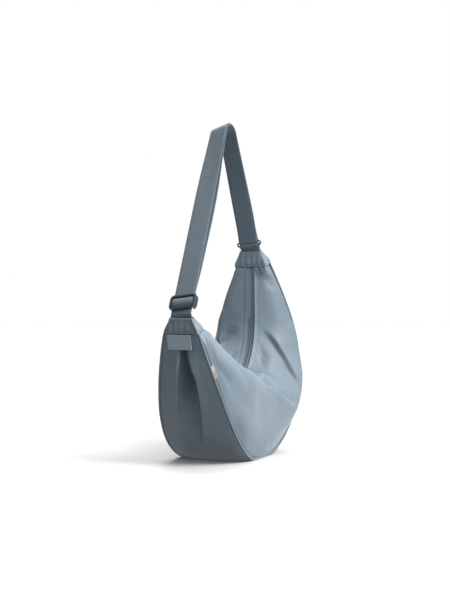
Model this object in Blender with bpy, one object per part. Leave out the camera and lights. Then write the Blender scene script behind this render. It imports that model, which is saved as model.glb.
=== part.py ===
"""Crescent shoulder bag of coated nylon with a curved zip and an adjustable webbing strap.

Units are metres and +Z is up. The origin is the middle of the flat stretch on which the bag stands.
The body is drawn in a frame of its own: P runs across from the near horn to the far horn, Q runs down
from the level of the far horn's tip, and the frame leans by BODY_LEAN about the Y axis.
"""

import math
from dataclasses import dataclass

import bmesh
import bpy
from mathutils import Matrix, Vector

# Driving dimensions of the body
BODY_LEAN = math.radians(21.4)
HALF_SPAN = 0.237
WIDEST_DEPTH = 0.160
BODY_DEPTH = 0.4165
OUTLINE_POWER = 2.35
FLOOR_PRESS = 0.008
GUSSET_TIP_HALF = 0.038
GUSSET_HALF = 0.086
GUSSET_GROWTH = 0.300
GUSSET_CROWN = 0.007
PANEL_BULGE = 0.014
FAR_SWELL = 0.019
FAR_SWELL_SHARE = 0.61
FAR_SWELL_SPREAD_SHARE = 0.13
RIDGE_RISE = 0.028
FAR_RIDGE_SHARE = 0.35
RIDGE_FADE_SHARES = (0.58, 0.84)
NEAR_ROLL = 0.014
NEAR_ROLL_SHARE = 0.32
NEAR_ROLL_SPREAD_SHARE = 0.12
CLOTH = 0.002
SEAM_GAP = 0.0004
LINING_CLOTH = 0.001
LINING_INSET = 0.0028
LINING_PLEAT_SHARE = 1.14
STATIONS = 30
SHIFT_END_SHARE = 0.15

# Pleat that draws each end of the gusset inwards
PLEAT_DEPTH = 0.046
PLEAT_HALF_WIDTH = 0.021
PLEAT_START = 0.036
PLEAT_END = 0.270

# Zip, which follows one arc between the horns and runs straight up into each horn
ZIP_RADIUS = 0.165
ZIP_CENTRE_DEPTH = 0.095
ZIP_MOUTH_HALF = 0.010
TAPE_HALF = 0.0125
TAPE_SPLIT = 0.0006
TAPE_THICK = 0.0008
TAPE_DROP = 0.0026
COIL_RADIUS = 0.0010
COIL_SEAT = 0.0003
STOP_LENGTH = 0.0022
STOP_HALF = 0.0030
STOP_HEIGHT = 0.0026

# Slider and pull
SLIDER_LENGTH = 0.016
SLIDER_FRONT_HALF = 0.0052
SLIDER_REAR_HALF = 0.0040
SLIDER_PLATE = 0.0014
SLIDER_WEB_HALF = 0.0003
SLIDER_LIP = 0.0009
SLIDER_CLEAR = 0.0004
BAIL_HEIGHT = 0.0042
BAIL_HALF_LENGTH = 0.0050
BAIL_HALF_WIDTH = 0.0008
BAIL_STOCK = 0.0011
PULL_PIN_RADIUS = 0.0008
PULL_LENGTH = 0.034
PULL_HALF_WIDTH = 0.0042
PULL_THICK = 0.0013
PULL_EYE_LENGTH = 0.0068
PULL_ARM = 0.0014
PULL_REST_TILT = math.radians(1)

# Horn caps, sewn patches and the side tag
CAP_FLARE = 0.0016
CAP_TOP_HALF_THICK = 0.0070
CAP_TOP_HALF_WIDTH = 0.0290
CAP_SIDES = 20
SLOT_CLEAR = 0.0010
WELT_RADIUS = 0.0015
PATCH_HALF_WIDTH = 0.0280
PATCH_THICK = 0.0018
TAG_WIDTH = 0.012
TAG_THICK = 0.0012
TAG_LIFT = 0.0009

# Strap webbing and its fittings
WEB_HALF = 0.025
WEB_THICK = 0.0018
FIT_GAP = 0.0003
LAYER_HALF = 0.00115
LAYER_SWELL = 0.0060
RETURN_SHIFT = 0.0025
AXIS_RISE = 0.006
APEX_ALONG = 0.441
APEX_RISE = 0.300
APEX_RADIUS = 0.026
STRAP_LEAN = math.radians(7.5)
STRAP_TURN = math.radians(14)
STRAP_ROLL = math.radians(7)
ADJUST_CENTRE = 0.030
ADJUST_TRAVEL = 0.240
RETURN_FIXED = 0.400

# Three-bar slide on the near leg
SLIDE_HALF_WIDTH = 0.0320
SLIDE_HALF_LENGTH = 0.019
SLIDE_CORNER = 0.011
SLIDE_WINDOW_HALF_WIDTH = 0.0265
SLIDE_WINDOW_HALF_LENGTH = 0.0125
SLIDE_BAR_THICK = 0.0046
SLIDE_MIDDLE_RADIUS = 0.0019
SLIDE_EDGE = 0.0014
BULGE_RISE = 0.0032
END_TAIL = 0.024

# Rectangular ring on the far horn
RING_STOCK = 0.0020
RING_HALF_WIDTH = 0.0325
RING_SPACING = 0.0086
RING_LOW_BAR = 0.008
RING_PLAY = 0.0015
LOOP_BURIED = 0.030


@dataclass(frozen=True)
class Horn:
    """Sizes that differ between the near horn and the far horn."""

    side: int
    inset: float
    cap_top: float
    cap_length: float
    back_shift: float
    zip_angle: float
    spread_power: float

    @property
    def cap_foot(self):
        """Depth at which the cap meets the panels."""
        return self.cap_top + self.cap_length

    def outer(self, depth):
        """P of the outline on this horn at a depth above the widest one."""
        return self.side * (HALF_SPAN - self.inset * ((WIDEST_DEPTH - depth) / WIDEST_DEPTH) ** 2)

    def mouth(self, depth):
        """P of the straight stretch of the zip on this horn."""
        start = ZIP_CENTRE_DEPTH + ZIP_RADIUS * math.cos(self.zip_angle)
        return self.side * (ZIP_RADIUS * math.sin(self.zip_angle)
                            + (start - depth) / math.tan(self.zip_angle))


NEAR = Horn(side=-1, inset=0.036, cap_top=0.007, cap_length=0.031, back_shift=0.0065,
            zip_angle=math.radians(75), spread_power=0.95)
FAR = Horn(side=1, inset=0.015, cap_top=0.0, cap_length=0.035, back_shift=0.0,
           zip_angle=math.radians(70), spread_power=1.1)

# Colours as linear values
CLOTH_BLUE = (0.150, 0.195, 0.235)
LINING_BLUE = (0.105, 0.135, 0.165)
WEB_BLUE = (0.120, 0.160, 0.190)
ZIP_BLUE = (0.100, 0.135, 0.165)
PLASTIC_BLUE = (0.105, 0.145, 0.170)
TAG_GREY = (0.420, 0.440, 0.450)


def smooth(value):
    """Ease a share from 0 to 1, level at both ends."""
    share = min(max(value, 0), 1)
    return share * share * (3 - 2 * share)


def resample(points, count):
    """Spread count + 1 points evenly along a dense line of (p, q) points."""
    line = [Vector(point) for point in points]
    marks = [0]
    for before, after in zip(line, line[1:]):
        marks.append(marks[-1] + (after - before).length)
    found = []
    index = 0
    for step in range(count + 1):
        goal = marks[-1] * step / count
        while index < len(line) - 2 and marks[index + 1] < goal:
            index += 1
        share = (goal - marks[index]) / (marks[index + 1] - marks[index])
        found.append(line[index].lerp(line[index + 1], share))
    return found, marks[-1]


def outline_points(steps=160):
    """Dense outer outline from the near cap's foot round the bottom to the far cap's foot."""
    points = []
    for step in range(steps):
        depth = NEAR.cap_foot + (WIDEST_DEPTH - NEAR.cap_foot) * step / steps
        points.append((NEAR.outer(depth), depth))
    for step in range(steps + 1):
        angle = math.pi * step / steps
        across = -math.cos(angle)
        down = math.sin(angle)
        p = HALF_SPAN * math.copysign(abs(across) ** (2 / OUTLINE_POWER), across)
        q = WIDEST_DEPTH + (BODY_DEPTH - WIDEST_DEPTH) * down ** (2 / OUTLINE_POWER)
        points.append((p, q))
    for step in range(1, steps + 1):
        depth = WIDEST_DEPTH + (FAR.cap_foot - WIDEST_DEPTH) * step / steps
        points.append((FAR.outer(depth), depth))
    return points


def zip_points(steps=80):
    """Dense zip line from the near cap's foot down, round its arc and up to the far cap's foot."""
    near_start = ZIP_CENTRE_DEPTH + ZIP_RADIUS * math.cos(NEAR.zip_angle)
    far_start = ZIP_CENTRE_DEPTH + ZIP_RADIUS * math.cos(FAR.zip_angle)
    points = []
    for step in range(steps):
        depth = NEAR.cap_foot + (near_start - NEAR.cap_foot) * step / steps
        points.append((NEAR.mouth(depth), depth))
    for step in range(steps + 1):
        angle = -NEAR.zip_angle + (NEAR.zip_angle + FAR.zip_angle) * step / steps
        points.append(zip_at(angle))
    for step in range(1, steps + 1):
        depth = far_start + (FAR.cap_foot - far_start) * step / steps
        points.append((FAR.mouth(depth), depth))
    return points


def zip_row(rise, width, first=0, last=None):
    """World points beside the zip line at a rise over it, over a range of its stations."""
    line = ZIP_LINE[first:last]
    found = []
    for index, point in enumerate(line):
        before = line[max(index - 1, 0)]
        after = line[min(index + 1, len(line) - 1)]
        tangent = (after - before).normalized()
        spot = point + Vector((tangent.y, -tangent.x)) * rise
        found.append(place(spot.x, spot.y, width + mouth_shift(index + first)))
    return found


def mouth_shift(index):
    """Shift towards the back of the zip's mouth at one of its stations, as the near horn has it."""
    share = index / (len(ZIP_LINE) - 1)
    return NEAR.back_shift * max(0, 1 - share / SHIFT_END_SHARE) ** 2


def zip_at(angle, rise=0):
    """Point on the zip's arc, measured from straight down, towards its centre by rise."""
    radius = ZIP_RADIUS - rise
    return (radius * math.sin(angle), ZIP_CENTRE_DEPTH + radius * math.cos(angle))


COS_LEAN = math.cos(BODY_LEAN)
SIN_LEAN = math.sin(BODY_LEAN)
LOWEST = min(outline_points(), key=lambda point: point[0] * SIN_LEAN - point[1] * COS_LEAN)
FRAME_X = -(LOWEST[0] * COS_LEAN + LOWEST[1] * SIN_LEAN)
FRAME_Z = LOWEST[1] * COS_LEAN - LOWEST[0] * SIN_LEAN - FLOOR_PRESS


def place(p, q, y=0.0, floor=None):
    """World position of a point of the body's frame, kept above a floor height where one is given."""
    x = FRAME_X + p * COS_LEAN + q * SIN_LEAN
    z = FRAME_Z + p * SIN_LEAN - q * COS_LEAN
    if floor is not None:
        z = max(z, floor)
    return Vector((x, y, z))


OUTER, OUTER_LENGTH = resample(outline_points(), STATIONS)
INNER, INNER_LENGTH = resample(zip_points(), STATIONS)
ZIP_LINE, ZIP_LENGTH = resample(zip_points(), 2 * STATIONS)


class Section:
    """One cut through the body, from the outline to the zip, at a share of the way round."""

    def __init__(self, index):
        self.share = index / STATIONS
        self.outer = OUTER[index]
        self.inner = INNER[index]
        self.height = (self.inner - self.outer).length
        self.inward = (self.inner - self.outer).normalized()
        self.travel = self.share * OUTER_LENGTH
        horn = NEAR if 2 * index < STATIONS else FAR
        growth = min(1, max(0, self.outer.y - horn.cap_foot) / GUSSET_GROWTH)
        fullness = math.sin(math.pi / 2 * growth) ** horn.spread_power
        self.gusset = GUSSET_TIP_HALF + (GUSSET_HALF - GUSSET_TIP_HALF) * fullness
        swell = math.sin(math.pi * self.share)
        self.bulge = PANEL_BULGE * max(swell, 0) ** 0.7
        self.bulge += FAR_SWELL * math.exp(-((self.share - FAR_SWELL_SHARE) / FAR_SWELL_SPREAD_SHARE) ** 2)
        fade_start, fade_end = RIDGE_FADE_SHARES
        fade = smooth((self.share - fade_start) / (fade_end - fade_start))
        self.rise = RIDGE_RISE * max(swell, 0) ** 0.45 * (1 - (1 - FAR_RIDGE_SHARE) * fade)
        self.roll = NEAR_ROLL * math.exp(-((self.share - NEAR_ROLL_SHARE) / NEAR_ROLL_SPREAD_SHARE) ** 2)
        self.shift = NEAR.back_shift * max(0, 1 - self.share / SHIFT_END_SHARE) ** 2

    def world(self, inward, width, floor=None):
        """World position at a distance in from the outline and a width from the middle."""
        spot = self.outer + self.inward * inward
        return place(spot.x, spot.y, width + self.shift, floor)

    def panel(self):
        """Cut of one panel as (inward, width) points, from the seam up over the ridge to the zip."""
        height, half, bulge, rise, roll = self.height, self.gusset, self.bulge, self.rise, self.roll
        knots = [
            Vector((CLOTH + SEAM_GAP, half)),
            Vector((0.33 * height, half + bulge)),
            Vector((0.75 * height, half + 0.75 * bulge + 0.8 * roll)),
            Vector((height + 0.45 * rise + 0.7 * roll, 0.99 * half + roll)),
            Vector((height + rise + roll, 0.80 * half + 0.7 * roll)),
            Vector((height + 0.60 * rise + 0.3 * roll, 0.45 * half)),
            Vector((height, ZIP_MOUTH_HALF)),
        ]
        return spline(knots, 2)

    def gusset_cut(self, inset=0.0):
        """Cut of the gusset as (inward, width) points, with its crown and the pleat at each end."""
        shares = (-1, -0.74, -0.50, -0.30, -0.14, 0, 0.14, 0.30, 0.50, 0.74, 1)
        end = min(self.travel, OUTER_LENGTH - self.travel)
        crown = GUSSET_CROWN * smooth((end - PLEAT_START) / PLEAT_START)
        reach = 4 * inset
        along = (end - PLEAT_START + reach) / (PLEAT_END - PLEAT_START + 2 * reach)
        depth = PLEAT_DEPTH * math.sin(math.pi * along) if 0 < along < 1 else 0
        cut = []
        for share in shares:
            width = share * self.gusset
            groove = depth * math.exp(-(width / (PLEAT_HALF_WIDTH + inset)) ** 2)
            if inset:
                groove *= LINING_PLEAT_SHARE
            cut.append(Vector((inset + groove - crown * (1 - share * share), width)))
        return cut


def spline(knots, parts):
    """Catmull-Rom line through the knots, with each stretch split into parts."""
    ends = [2 * knots[0] - knots[1]] + knots + [2 * knots[-1] - knots[-2]]
    line = []
    for a, b, c, d in zip(ends, ends[1:], ends[2:], ends[3:]):
        for step in range(parts):
            u = step / parts
            line.append(0.5 * (2 * b + (c - a) * u + (2 * a - 5 * b + 4 * c - d) * u ** 2
                               + (3 * b - a - 3 * c + d) * u ** 3))
    line.append(knots[-1].copy())
    return line


def inset_cut(cut, distance):
    """The same cut moved by a distance to the inside of the bag, along its own normals."""
    moved = []
    for index, point in enumerate(cut):
        before = cut[max(index - 1, 0)]
        after = cut[min(index + 1, len(cut) - 1)]
        tangent = (after - before).normalized()
        moved.append(point + Vector((tangent.y, -tangent.x)) * distance)
    return moved


def clear_scene():
    """Remove every object that is in the scene."""
    for item in list(bpy.data.objects):
        bpy.data.objects.remove(item, do_unlink=True)


def make_material(name, colour, roughness, metallic=0.0):
    """One Principled material."""
    material = bpy.data.materials.new(name)
    material.use_nodes = True
    shader = material.node_tree.nodes["Principled BSDF"]
    shader.inputs["Base Color"].default_value = (*colour, 1)
    shader.inputs["Roughness"].default_value = roughness
    shader.inputs["Metallic"].default_value = metallic
    return material


def add_object(name, mesh, material):
    """Link a mesh or curve as a named object with its material."""
    item = bpy.data.objects.new(name, mesh)
    bpy.context.collection.objects.link(item)
    mesh.materials.append(material)
    return item


def mesh_from(name, points, faces, closed=True):
    """Mesh from points and faces, with the faces of a closed body turned outwards."""
    mesh = bpy.data.meshes.new(name)
    mesh.from_pydata([tuple(point) for point in points], [], faces)
    body = bmesh.new()
    body.from_mesh(mesh)
    if closed:
        bmesh.ops.recalc_face_normals(body, faces=body.faces)
    body.to_mesh(mesh)
    body.free()
    mesh.shade_smooth()
    mesh.set_sharp_from_angle(angle=math.radians(40))
    return mesh


def cloth_sheet(name, grid, thickness, material, inside, flip=False):
    """Sheet through a grid of points, thickened away from its face, or evenly when inside is 0."""
    rows, columns = len(grid), len(grid[0])
    points = [point for row in grid for point in row]
    faces = []
    for i in range(rows - 1):
        for j in range(columns - 1):
            corner = i * columns + j
            face = (corner, corner + columns, corner + columns + 1, corner + 1)
            faces.append(face[::-1] if flip else face)
    item = add_object(name, mesh_from(name, points, faces, closed=False), material)
    solidify = item.modifiers.new("thickness", "SOLIDIFY")
    solidify.thickness = thickness
    solidify.offset = -inside
    solidify.use_rim = True
    return item


def loft_faces(loop_count, ring):
    """Faces of the walls between successive loops that hold ring points each."""
    faces = []
    for i in range(loop_count - 1):
        for j in range(ring):
            k = (j + 1) % ring
            faces.append((i * ring + j, i * ring + k, (i + 1) * ring + k, (i + 1) * ring + j))
    return faces


def lofted_solid(name, loops, material):
    """Solid through a row of loops, closed by a flat face at each end."""
    ring = len(loops[0])
    points = [point for loop in loops for point in loop]
    faces = loft_faces(len(loops), ring)
    faces.append(tuple(range(ring)))
    faces.append(tuple(range((len(loops) - 1) * ring, len(loops) * ring)))
    return add_object(name, mesh_from(name, points, faces), material)


def sleeve(name, outer_loops, inner_loops, material):
    """Open tube with a wall between outer and inner loops, joined at both rims."""
    ring = len(outer_loops[0])
    points = [point for loop in outer_loops + inner_loops[::-1] for point in loop]
    total = len(outer_loops) + len(inner_loops)
    faces = loft_faces(total, ring)
    last = (total - 1) * ring
    for j in range(ring):
        k = (j + 1) % ring
        faces.append((last + j, last + k, k, j))
    return add_object(name, mesh_from(name, points, faces), material)


def tube(name, points, radius, material, cyclic=False, resolution=1):
    """Round cord or bar through points, as a curve with a bevel."""
    curve = bpy.data.curves.new(name, "CURVE")
    curve.dimensions = "3D"
    curve.bevel_depth = radius
    curve.bevel_resolution = resolution
    curve.use_fill_caps = True
    line = curve.splines.new("POLY")
    line.points.add(len(points) - 1)
    for spot, point in zip(line.points, points):
        spot.co = (*point, 1)
    line.use_cyclic_u = cyclic
    line.use_smooth = True
    return add_object(name, curve, material)


SECTIONS = [Section(index) for index in range(STATIONS + 1)]


def panel_grid(side, inset=0.0, floor=CLOTH + SEAM_GAP, first=0, last=None, skip=0):
    """Grid of one panel's outer face, or of its lining when inset, over a range of sections."""
    grid = []
    for section in SECTIONS[first:last]:
        cut = section.panel()
        if inset:
            sewn = inset_cut(cut, CLOTH + SEAM_GAP)
            loose = inset_cut(cut, inset)
            cut = [sewn[1]] + loose[2:-skip - 1] + [sewn[-skip - 1]]
        grid.append([section.world(point.x, side * point.y, floor) for point in cut])
    return grid


def build_shell(cloth):
    """The two panels, the gusset between them and the welts along both seams."""
    for name, side in (("front_panel", -1), ("back_panel", 1)):
        cloth_sheet(name, panel_grid(side), CLOTH, cloth, 1, flip=side > 0)
    grid = [[section.world(cut.x, cut.y, 0) for cut in section.gusset_cut()] for section in SECTIONS]
    cloth_sheet("gusset", grid, CLOTH, cloth, 1, flip=True)
    for name, side in (("front_seam_welt", -1), ("back_seam_welt", 1)):
        tube(name, [welt_centre(section, side) for section in SECTIONS], WELT_RADIUS, cloth)


def welt_centre(section, side):
    """Middle of the welt beside the seam, clear of the panel that it lies on."""
    cut = section.panel()
    slope = (cut[1] - cut[0]).normalized()
    outward = Vector((-slope.y, slope.x))
    spot = Vector((0, section.gusset)) + slope * WELT_RADIUS + outward * (WELT_RADIUS + FIT_GAP * 2)
    return section.world(spot.x, side * spot.y, WELT_RADIUS)


def build_lining(lining):
    """Lining of both panels and the gusset, inside the shell, open along the zip."""
    first, last = 2, STATIONS - 1
    floor = LINING_INSET + LINING_CLOTH + SEAM_GAP
    for name, side in (("lining_front", -1), ("lining_back", 1)):
        grid = panel_grid(side, LINING_INSET, floor, first, last, skip=2)
        cloth_sheet(name, grid, LINING_CLOTH, lining, 1, flip=side > 0)
    grid = []
    for section in SECTIONS[first:last]:
        cut = section.gusset_cut(LINING_INSET)[1:-1]
        grid.append([section.world(point.x, point.y, LINING_INSET) for point in cut])
    cloth_sheet("lining_gusset", grid, LINING_CLOTH, lining, 1, flip=True)


def build_zip(tape, coil):
    """Tape halves over the whole mouth, coil halves along the arc and a stop at each end."""
    for name, side in (("zip_tape_front", -1), ("zip_tape_back", 1)):
        edges = [zip_row(-TAPE_DROP, side * width) for width in (TAPE_SPLIT, TAPE_HALF)]
        cloth_sheet(name, list(zip(*edges)), TAPE_THICK, tape, 1, flip=side < 0)
    stop_angle = STOP_LENGTH / ZIP_RADIUS
    first = -NEAR.zip_angle + 2 * stop_angle
    last = FAR.zip_angle - 2 * stop_angle
    for name, side in (("zip_coil_front", -1), ("zip_coil_back", 1)):
        width = side * (TAPE_SPLIT + COIL_SEAT + COIL_RADIUS)
        tube(name, coil_points(first, last, width), COIL_RADIUS, coil)
    for name, start in (("near_zip_stop", first - 1.5 * stop_angle), ("far_zip_stop", last + 0.5 * stop_angle)):
        lofted_solid(name, [stop_loop(start + stop_angle * share) for share in (0, 1)], coil)


def coil_points(first, last, width):
    """Middle line of one coil half between two angles of the zip's arc."""
    rise = COIL_SEAT + COIL_RADIUS - TAPE_DROP
    points = [place(*zip_at(first, rise), width)]
    for point in ZIP_LINE:
        angle = math.atan2(point.x, point.y - ZIP_CENTRE_DEPTH)
        if first < angle < last and point.y > ZIP_CENTRE_DEPTH:
            points.append(place(*zip_at(angle, rise), width))
    points.append(place(*zip_at(last, rise), width))
    return points


def stop_loop(angle):
    """Cut of a stop across the zip at one angle."""
    foot = -(TAPE_DROP - COIL_SEAT)
    head = foot + STOP_HEIGHT
    corners = ((foot, -1), (foot, 1), (head, 0.7), (head, -0.7))
    return [place(*zip_at(angle, rise), share * STOP_HALF) for rise, share in corners]


SLIDER_HALF_ANGLE = SLIDER_LENGTH / 2 / ZIP_RADIUS
STOP_ANGLE = STOP_LENGTH / ZIP_RADIUS
SLIDER_REST = -NEAR.zip_angle + 2.5 * STOP_ANGLE + SLIDER_HALF_ANGLE
SLIDER_END = FAR.zip_angle - 2.5 * STOP_ANGLE - SLIDER_HALF_ANGLE
COIL_TOP = -(TAPE_DROP - COIL_SEAT - 2 * COIL_RADIUS)
PLATE_FOOT = COIL_TOP + SLIDER_CLEAR
PLATE_HEAD = PLATE_FOOT + SLIDER_PLATE
LOW_HEAD = -(TAPE_DROP + TAPE_THICK + SLIDER_CLEAR)
LOW_FOOT = LOW_HEAD - SLIDER_PLATE
PIN_RISE = PLATE_HEAD + PULL_PIN_RADIUS + SLIDER_CLEAR


def slider_loop(angle, half):
    """Cut of the slider: an upper plate with lips, a thin web and a lower plate."""
    lip_inner = half - SLIDER_LIP
    web = SLIDER_WEB_HALF
    tape_head = -TAPE_DROP + SLIDER_CLEAR
    one_side = [
        (PLATE_HEAD, half - SLIDER_LIP / 2), (PLATE_HEAD - SLIDER_LIP / 2, half),
        (tape_head, half), (tape_head, lip_inner), (PLATE_FOOT, lip_inner), (PLATE_FOOT, web),
        (LOW_HEAD, web), (LOW_HEAD, half), (LOW_FOOT + SLIDER_LIP / 2, half),
        (LOW_FOOT, half - SLIDER_LIP / 2),
    ]
    other = [(rise, -width) for rise, width in reversed(one_side)]
    return [place(*zip_at(angle, rise), width) for rise, width in one_side + other]


def build_slider(metal):
    """Slider body with its bail, riding over the coil."""
    steps = 6
    loops = []
    for step in range(steps + 1):
        share = step / steps
        angle = SLIDER_REST + SLIDER_HALF_ANGLE * (2 * share - 1)
        half = SLIDER_REAR_HALF + (SLIDER_FRONT_HALF - SLIDER_REAR_HALF) * smooth(share)
        loops.append(slider_loop(angle, half))
    slider = lofted_solid("zip_slider", loops, metal)
    bail = bail_cutter(metal)
    join = slider.modifiers.new("bail", "BOOLEAN")
    join.operation = "UNION"
    join.object = bail


def bail_cutter(metal):
    """Arched bail that stands on the slider's upper plate, as a hidden solid for the union."""
    steps = 8
    loops = []
    for step in range(steps + 1):
        swing = math.pi * step / steps
        along = -math.cos(swing) * BAIL_HALF_LENGTH
        lift = math.sin(swing) ** 0.6
        loop = []
        for level, side in ((-1, -1), (-1, 1), (1, 1), (1, -1)):
            reach = along * (1 + level * BAIL_STOCK / 2 / BAIL_HALF_LENGTH)
            rise = PLATE_HEAD - BAIL_STOCK / 2 + (BAIL_HEIGHT + level * BAIL_STOCK / 2) * lift
            angle = SLIDER_REST + reach / ZIP_RADIUS
            loop.append(place(*zip_at(angle, rise), side * BAIL_HALF_WIDTH))
        loops.append(loop)
    bail = lofted_solid("bail_form", loops, metal)
    bail.hide_render = True
    bail.display_type = "WIRE"
    return bail


def build_pull(metal):
    """Pull tab with an eye round the bail and a pin under it."""
    pivot = place(*zip_at(SLIDER_REST, PIN_RISE))
    inward = (place(0, ZIP_CENTRE_DEPTH) - pivot).normalized()
    side = Vector((0, 1, 0))
    forward = side.cross(inward)
    if forward.x < 0:
        forward = -forward
    tilt = PULL_LENGTH / 2 / ZIP_RADIUS + PULL_REST_TILT
    along = forward * math.cos(tilt) + inward * math.sin(tilt)
    up = inward * math.cos(tilt) - forward * math.sin(tilt)
    half_thick = PULL_THICK / 2
    arm_inner = BAIL_HALF_WIDTH + SLIDER_CLEAR
    arm_outer = arm_inner + PULL_ARM
    body = bmesh.new()
    neck = PULL_EYE_LENGTH + PULL_ARM
    shoulder = neck + PULL_ARM * 2
    outline = [(-PULL_PIN_RADIUS, arm_outer), (neck, arm_outer), (shoulder, PULL_HALF_WIDTH * 0.8),
               (PULL_LENGTH - PULL_HALF_WIDTH, PULL_HALF_WIDTH),
               (PULL_LENGTH - PULL_HALF_WIDTH * 0.3, PULL_HALF_WIDTH * 0.75),
               (PULL_LENGTH, PULL_HALF_WIDTH * 0.3)]
    ring = outline + [(length, -width) for length, width in reversed(outline)]
    hole = [(PULL_PIN_RADIUS, arm_inner), (PULL_EYE_LENGTH, arm_inner),
            (PULL_EYE_LENGTH, -arm_inner), (PULL_PIN_RADIUS, -arm_inner)]
    layers = []
    for level in (-half_thick, half_thick):
        outer = [body.verts.new(pivot + along * l + side * w + up * level) for l, w in ring]
        inner = [body.verts.new(pivot + along * l + side * w + up * level) for l, w in hole]
        edges = [body.edges.new((a, b)) for a, b in zip(outer, outer[1:] + outer[:1])]
        edges += [body.edges.new((a, b)) for a, b in zip(inner, inner[1:] + inner[:1])]
        bmesh.ops.triangle_fill(body, edges=edges, use_beauty=True)
        layers.append((outer, inner))
    for low, high in zip(layers[0], layers[1]):
        for index in range(len(low)):
            after = (index + 1) % len(low)
            body.faces.new((low[index], low[after], high[after], high[index]))
    bmesh.ops.recalc_face_normals(body, faces=body.faces)
    mesh = bpy.data.meshes.new("zip_pull")
    body.to_mesh(mesh)
    body.free()
    pull = add_object("zip_pull", mesh, metal)
    mesh.transform(Matrix.Translation(-pivot))
    pull.location = pivot


def cap_loop(centre, across, half_thick, half_width, y_middle):
    """Rounded loop of a cap in the plane of one depth, with across as the direction of its thickness."""
    loop = []
    for step in range(CAP_SIDES):
        angle = 2 * math.pi * step / CAP_SIDES
        thick = math.copysign(abs(math.cos(angle)) ** 0.55, math.cos(angle))
        width = math.copysign(abs(math.sin(angle)) ** 0.55, math.sin(angle))
        spot = Vector(centre) + across * (thick * half_thick)
        loop.append(place(spot.x, spot.y, y_middle + width * half_width))
    return loop


def cap_middle(horn, depth):
    """Middle of a cap at a depth, half way between the outline and the horn's inner edge."""
    share = (depth - horn.cap_top) / horn.cap_length
    foot = (horn.outer(horn.cap_foot) + horn.mouth(horn.cap_foot)) / 2
    top = horn.outer(horn.cap_top) - horn.side * CAP_TOP_HALF_THICK
    return Vector((top + (foot - top) * share, depth))


def horn_shift(horn, depth):
    """Shift of a horn towards the back at a depth above the cap's foot."""
    return horn.back_shift * (1 + (horn.cap_foot - depth) / WIDEST_DEPTH)


def build_cap(name, horn, slot_half_thick, material):
    """Sewn cap over a horn's tip: a sleeve that narrows to a slot for the webbing."""
    across = Vector((1, 0))
    section = SECTIONS[0] if horn.side < 0 else SECTIONS[-1]
    foot_thick = section.height / 2 + CAP_FLARE
    foot_width = section.gusset + CAP_FLARE
    outer, inner = [], []
    for share in (0, 0.35, 0.7, 0.92, 1):
        depth = horn.cap_foot - 2 * SEAM_GAP - (horn.cap_length - 2 * SEAM_GAP) * share
        ease = smooth(share)
        half_thick = foot_thick + (CAP_TOP_HALF_THICK - foot_thick) * ease
        half_width = foot_width + (CAP_TOP_HALF_WIDTH - foot_width) * ease
        if share == 1:
            half_thick -= CLOTH
            half_width -= CLOTH * 0.5
        middle = cap_middle(horn, depth)
        y_middle = horn_shift(horn, depth)
        outer.append(cap_loop(middle, across, half_thick, half_width, y_middle))
        slot_width = WEB_HALF + SLOT_CLEAR
        if share < 0.9:
            inner.append(cap_loop(middle, across, max(half_thick - CLOTH, slot_half_thick),
                                  max(half_width - CLOTH, slot_width), y_middle))
        else:
            inner.append(cap_loop(middle, across, slot_half_thick, slot_width, y_middle))
    return sleeve(name, outer, inner, material)


def build_patch(name, index, material):
    """Webbing patch sewn flat on the gusset in the stretch next to a cap."""
    first, last = SECTIONS[index], SECTIONS[index + 1]
    start, end = 0.04, 0.94
    if index:
        start, end = 1 - end, 1 - start
    lift = -(WEB_THICK + FIT_GAP * 1.5)
    grid = []
    for share in (start, (start + end) / 2, end):
        row = []
        for width in (-PATCH_HALF_WIDTH, 0, PATCH_HALF_WIDTH):
            row.append(first.world(lift, width).lerp(last.world(lift, width), share))
        grid.append(row)
    cloth_sheet(name, grid, PATCH_THICK, material, 1, flip=True)


def build_tag(material):
    """Plain folded tag held in the front seam, lying over the edge of the front panel."""
    index = 2
    low, high = SECTIONS[index], SECTIONS[index + 1]
    low_cut, high_cut = low.panel(), high.panel()
    grid = []
    for share in (0.12, 0.5, 0.88):
        row = []
        for reach in (0, 0.5, 1):
            points = []
            for section, cut in ((low, low_cut), (high, high_cut)):
                slope = (cut[1] - cut[0]).normalized()
                outward = Vector((-slope.y, slope.x))
                start = 2 * WELT_RADIUS + FIT_GAP
                spot = cut[0] + slope * (start + TAG_WIDTH * reach) + outward * (TAG_LIFT + TAG_THICK)
                points.append(section.world(spot.x, -spot.y))
            row.append(points[0].lerp(points[1], share))
        grid.append(row)
    cloth_sheet("side_tag", grid, TAG_THICK, material, 1)


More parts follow.
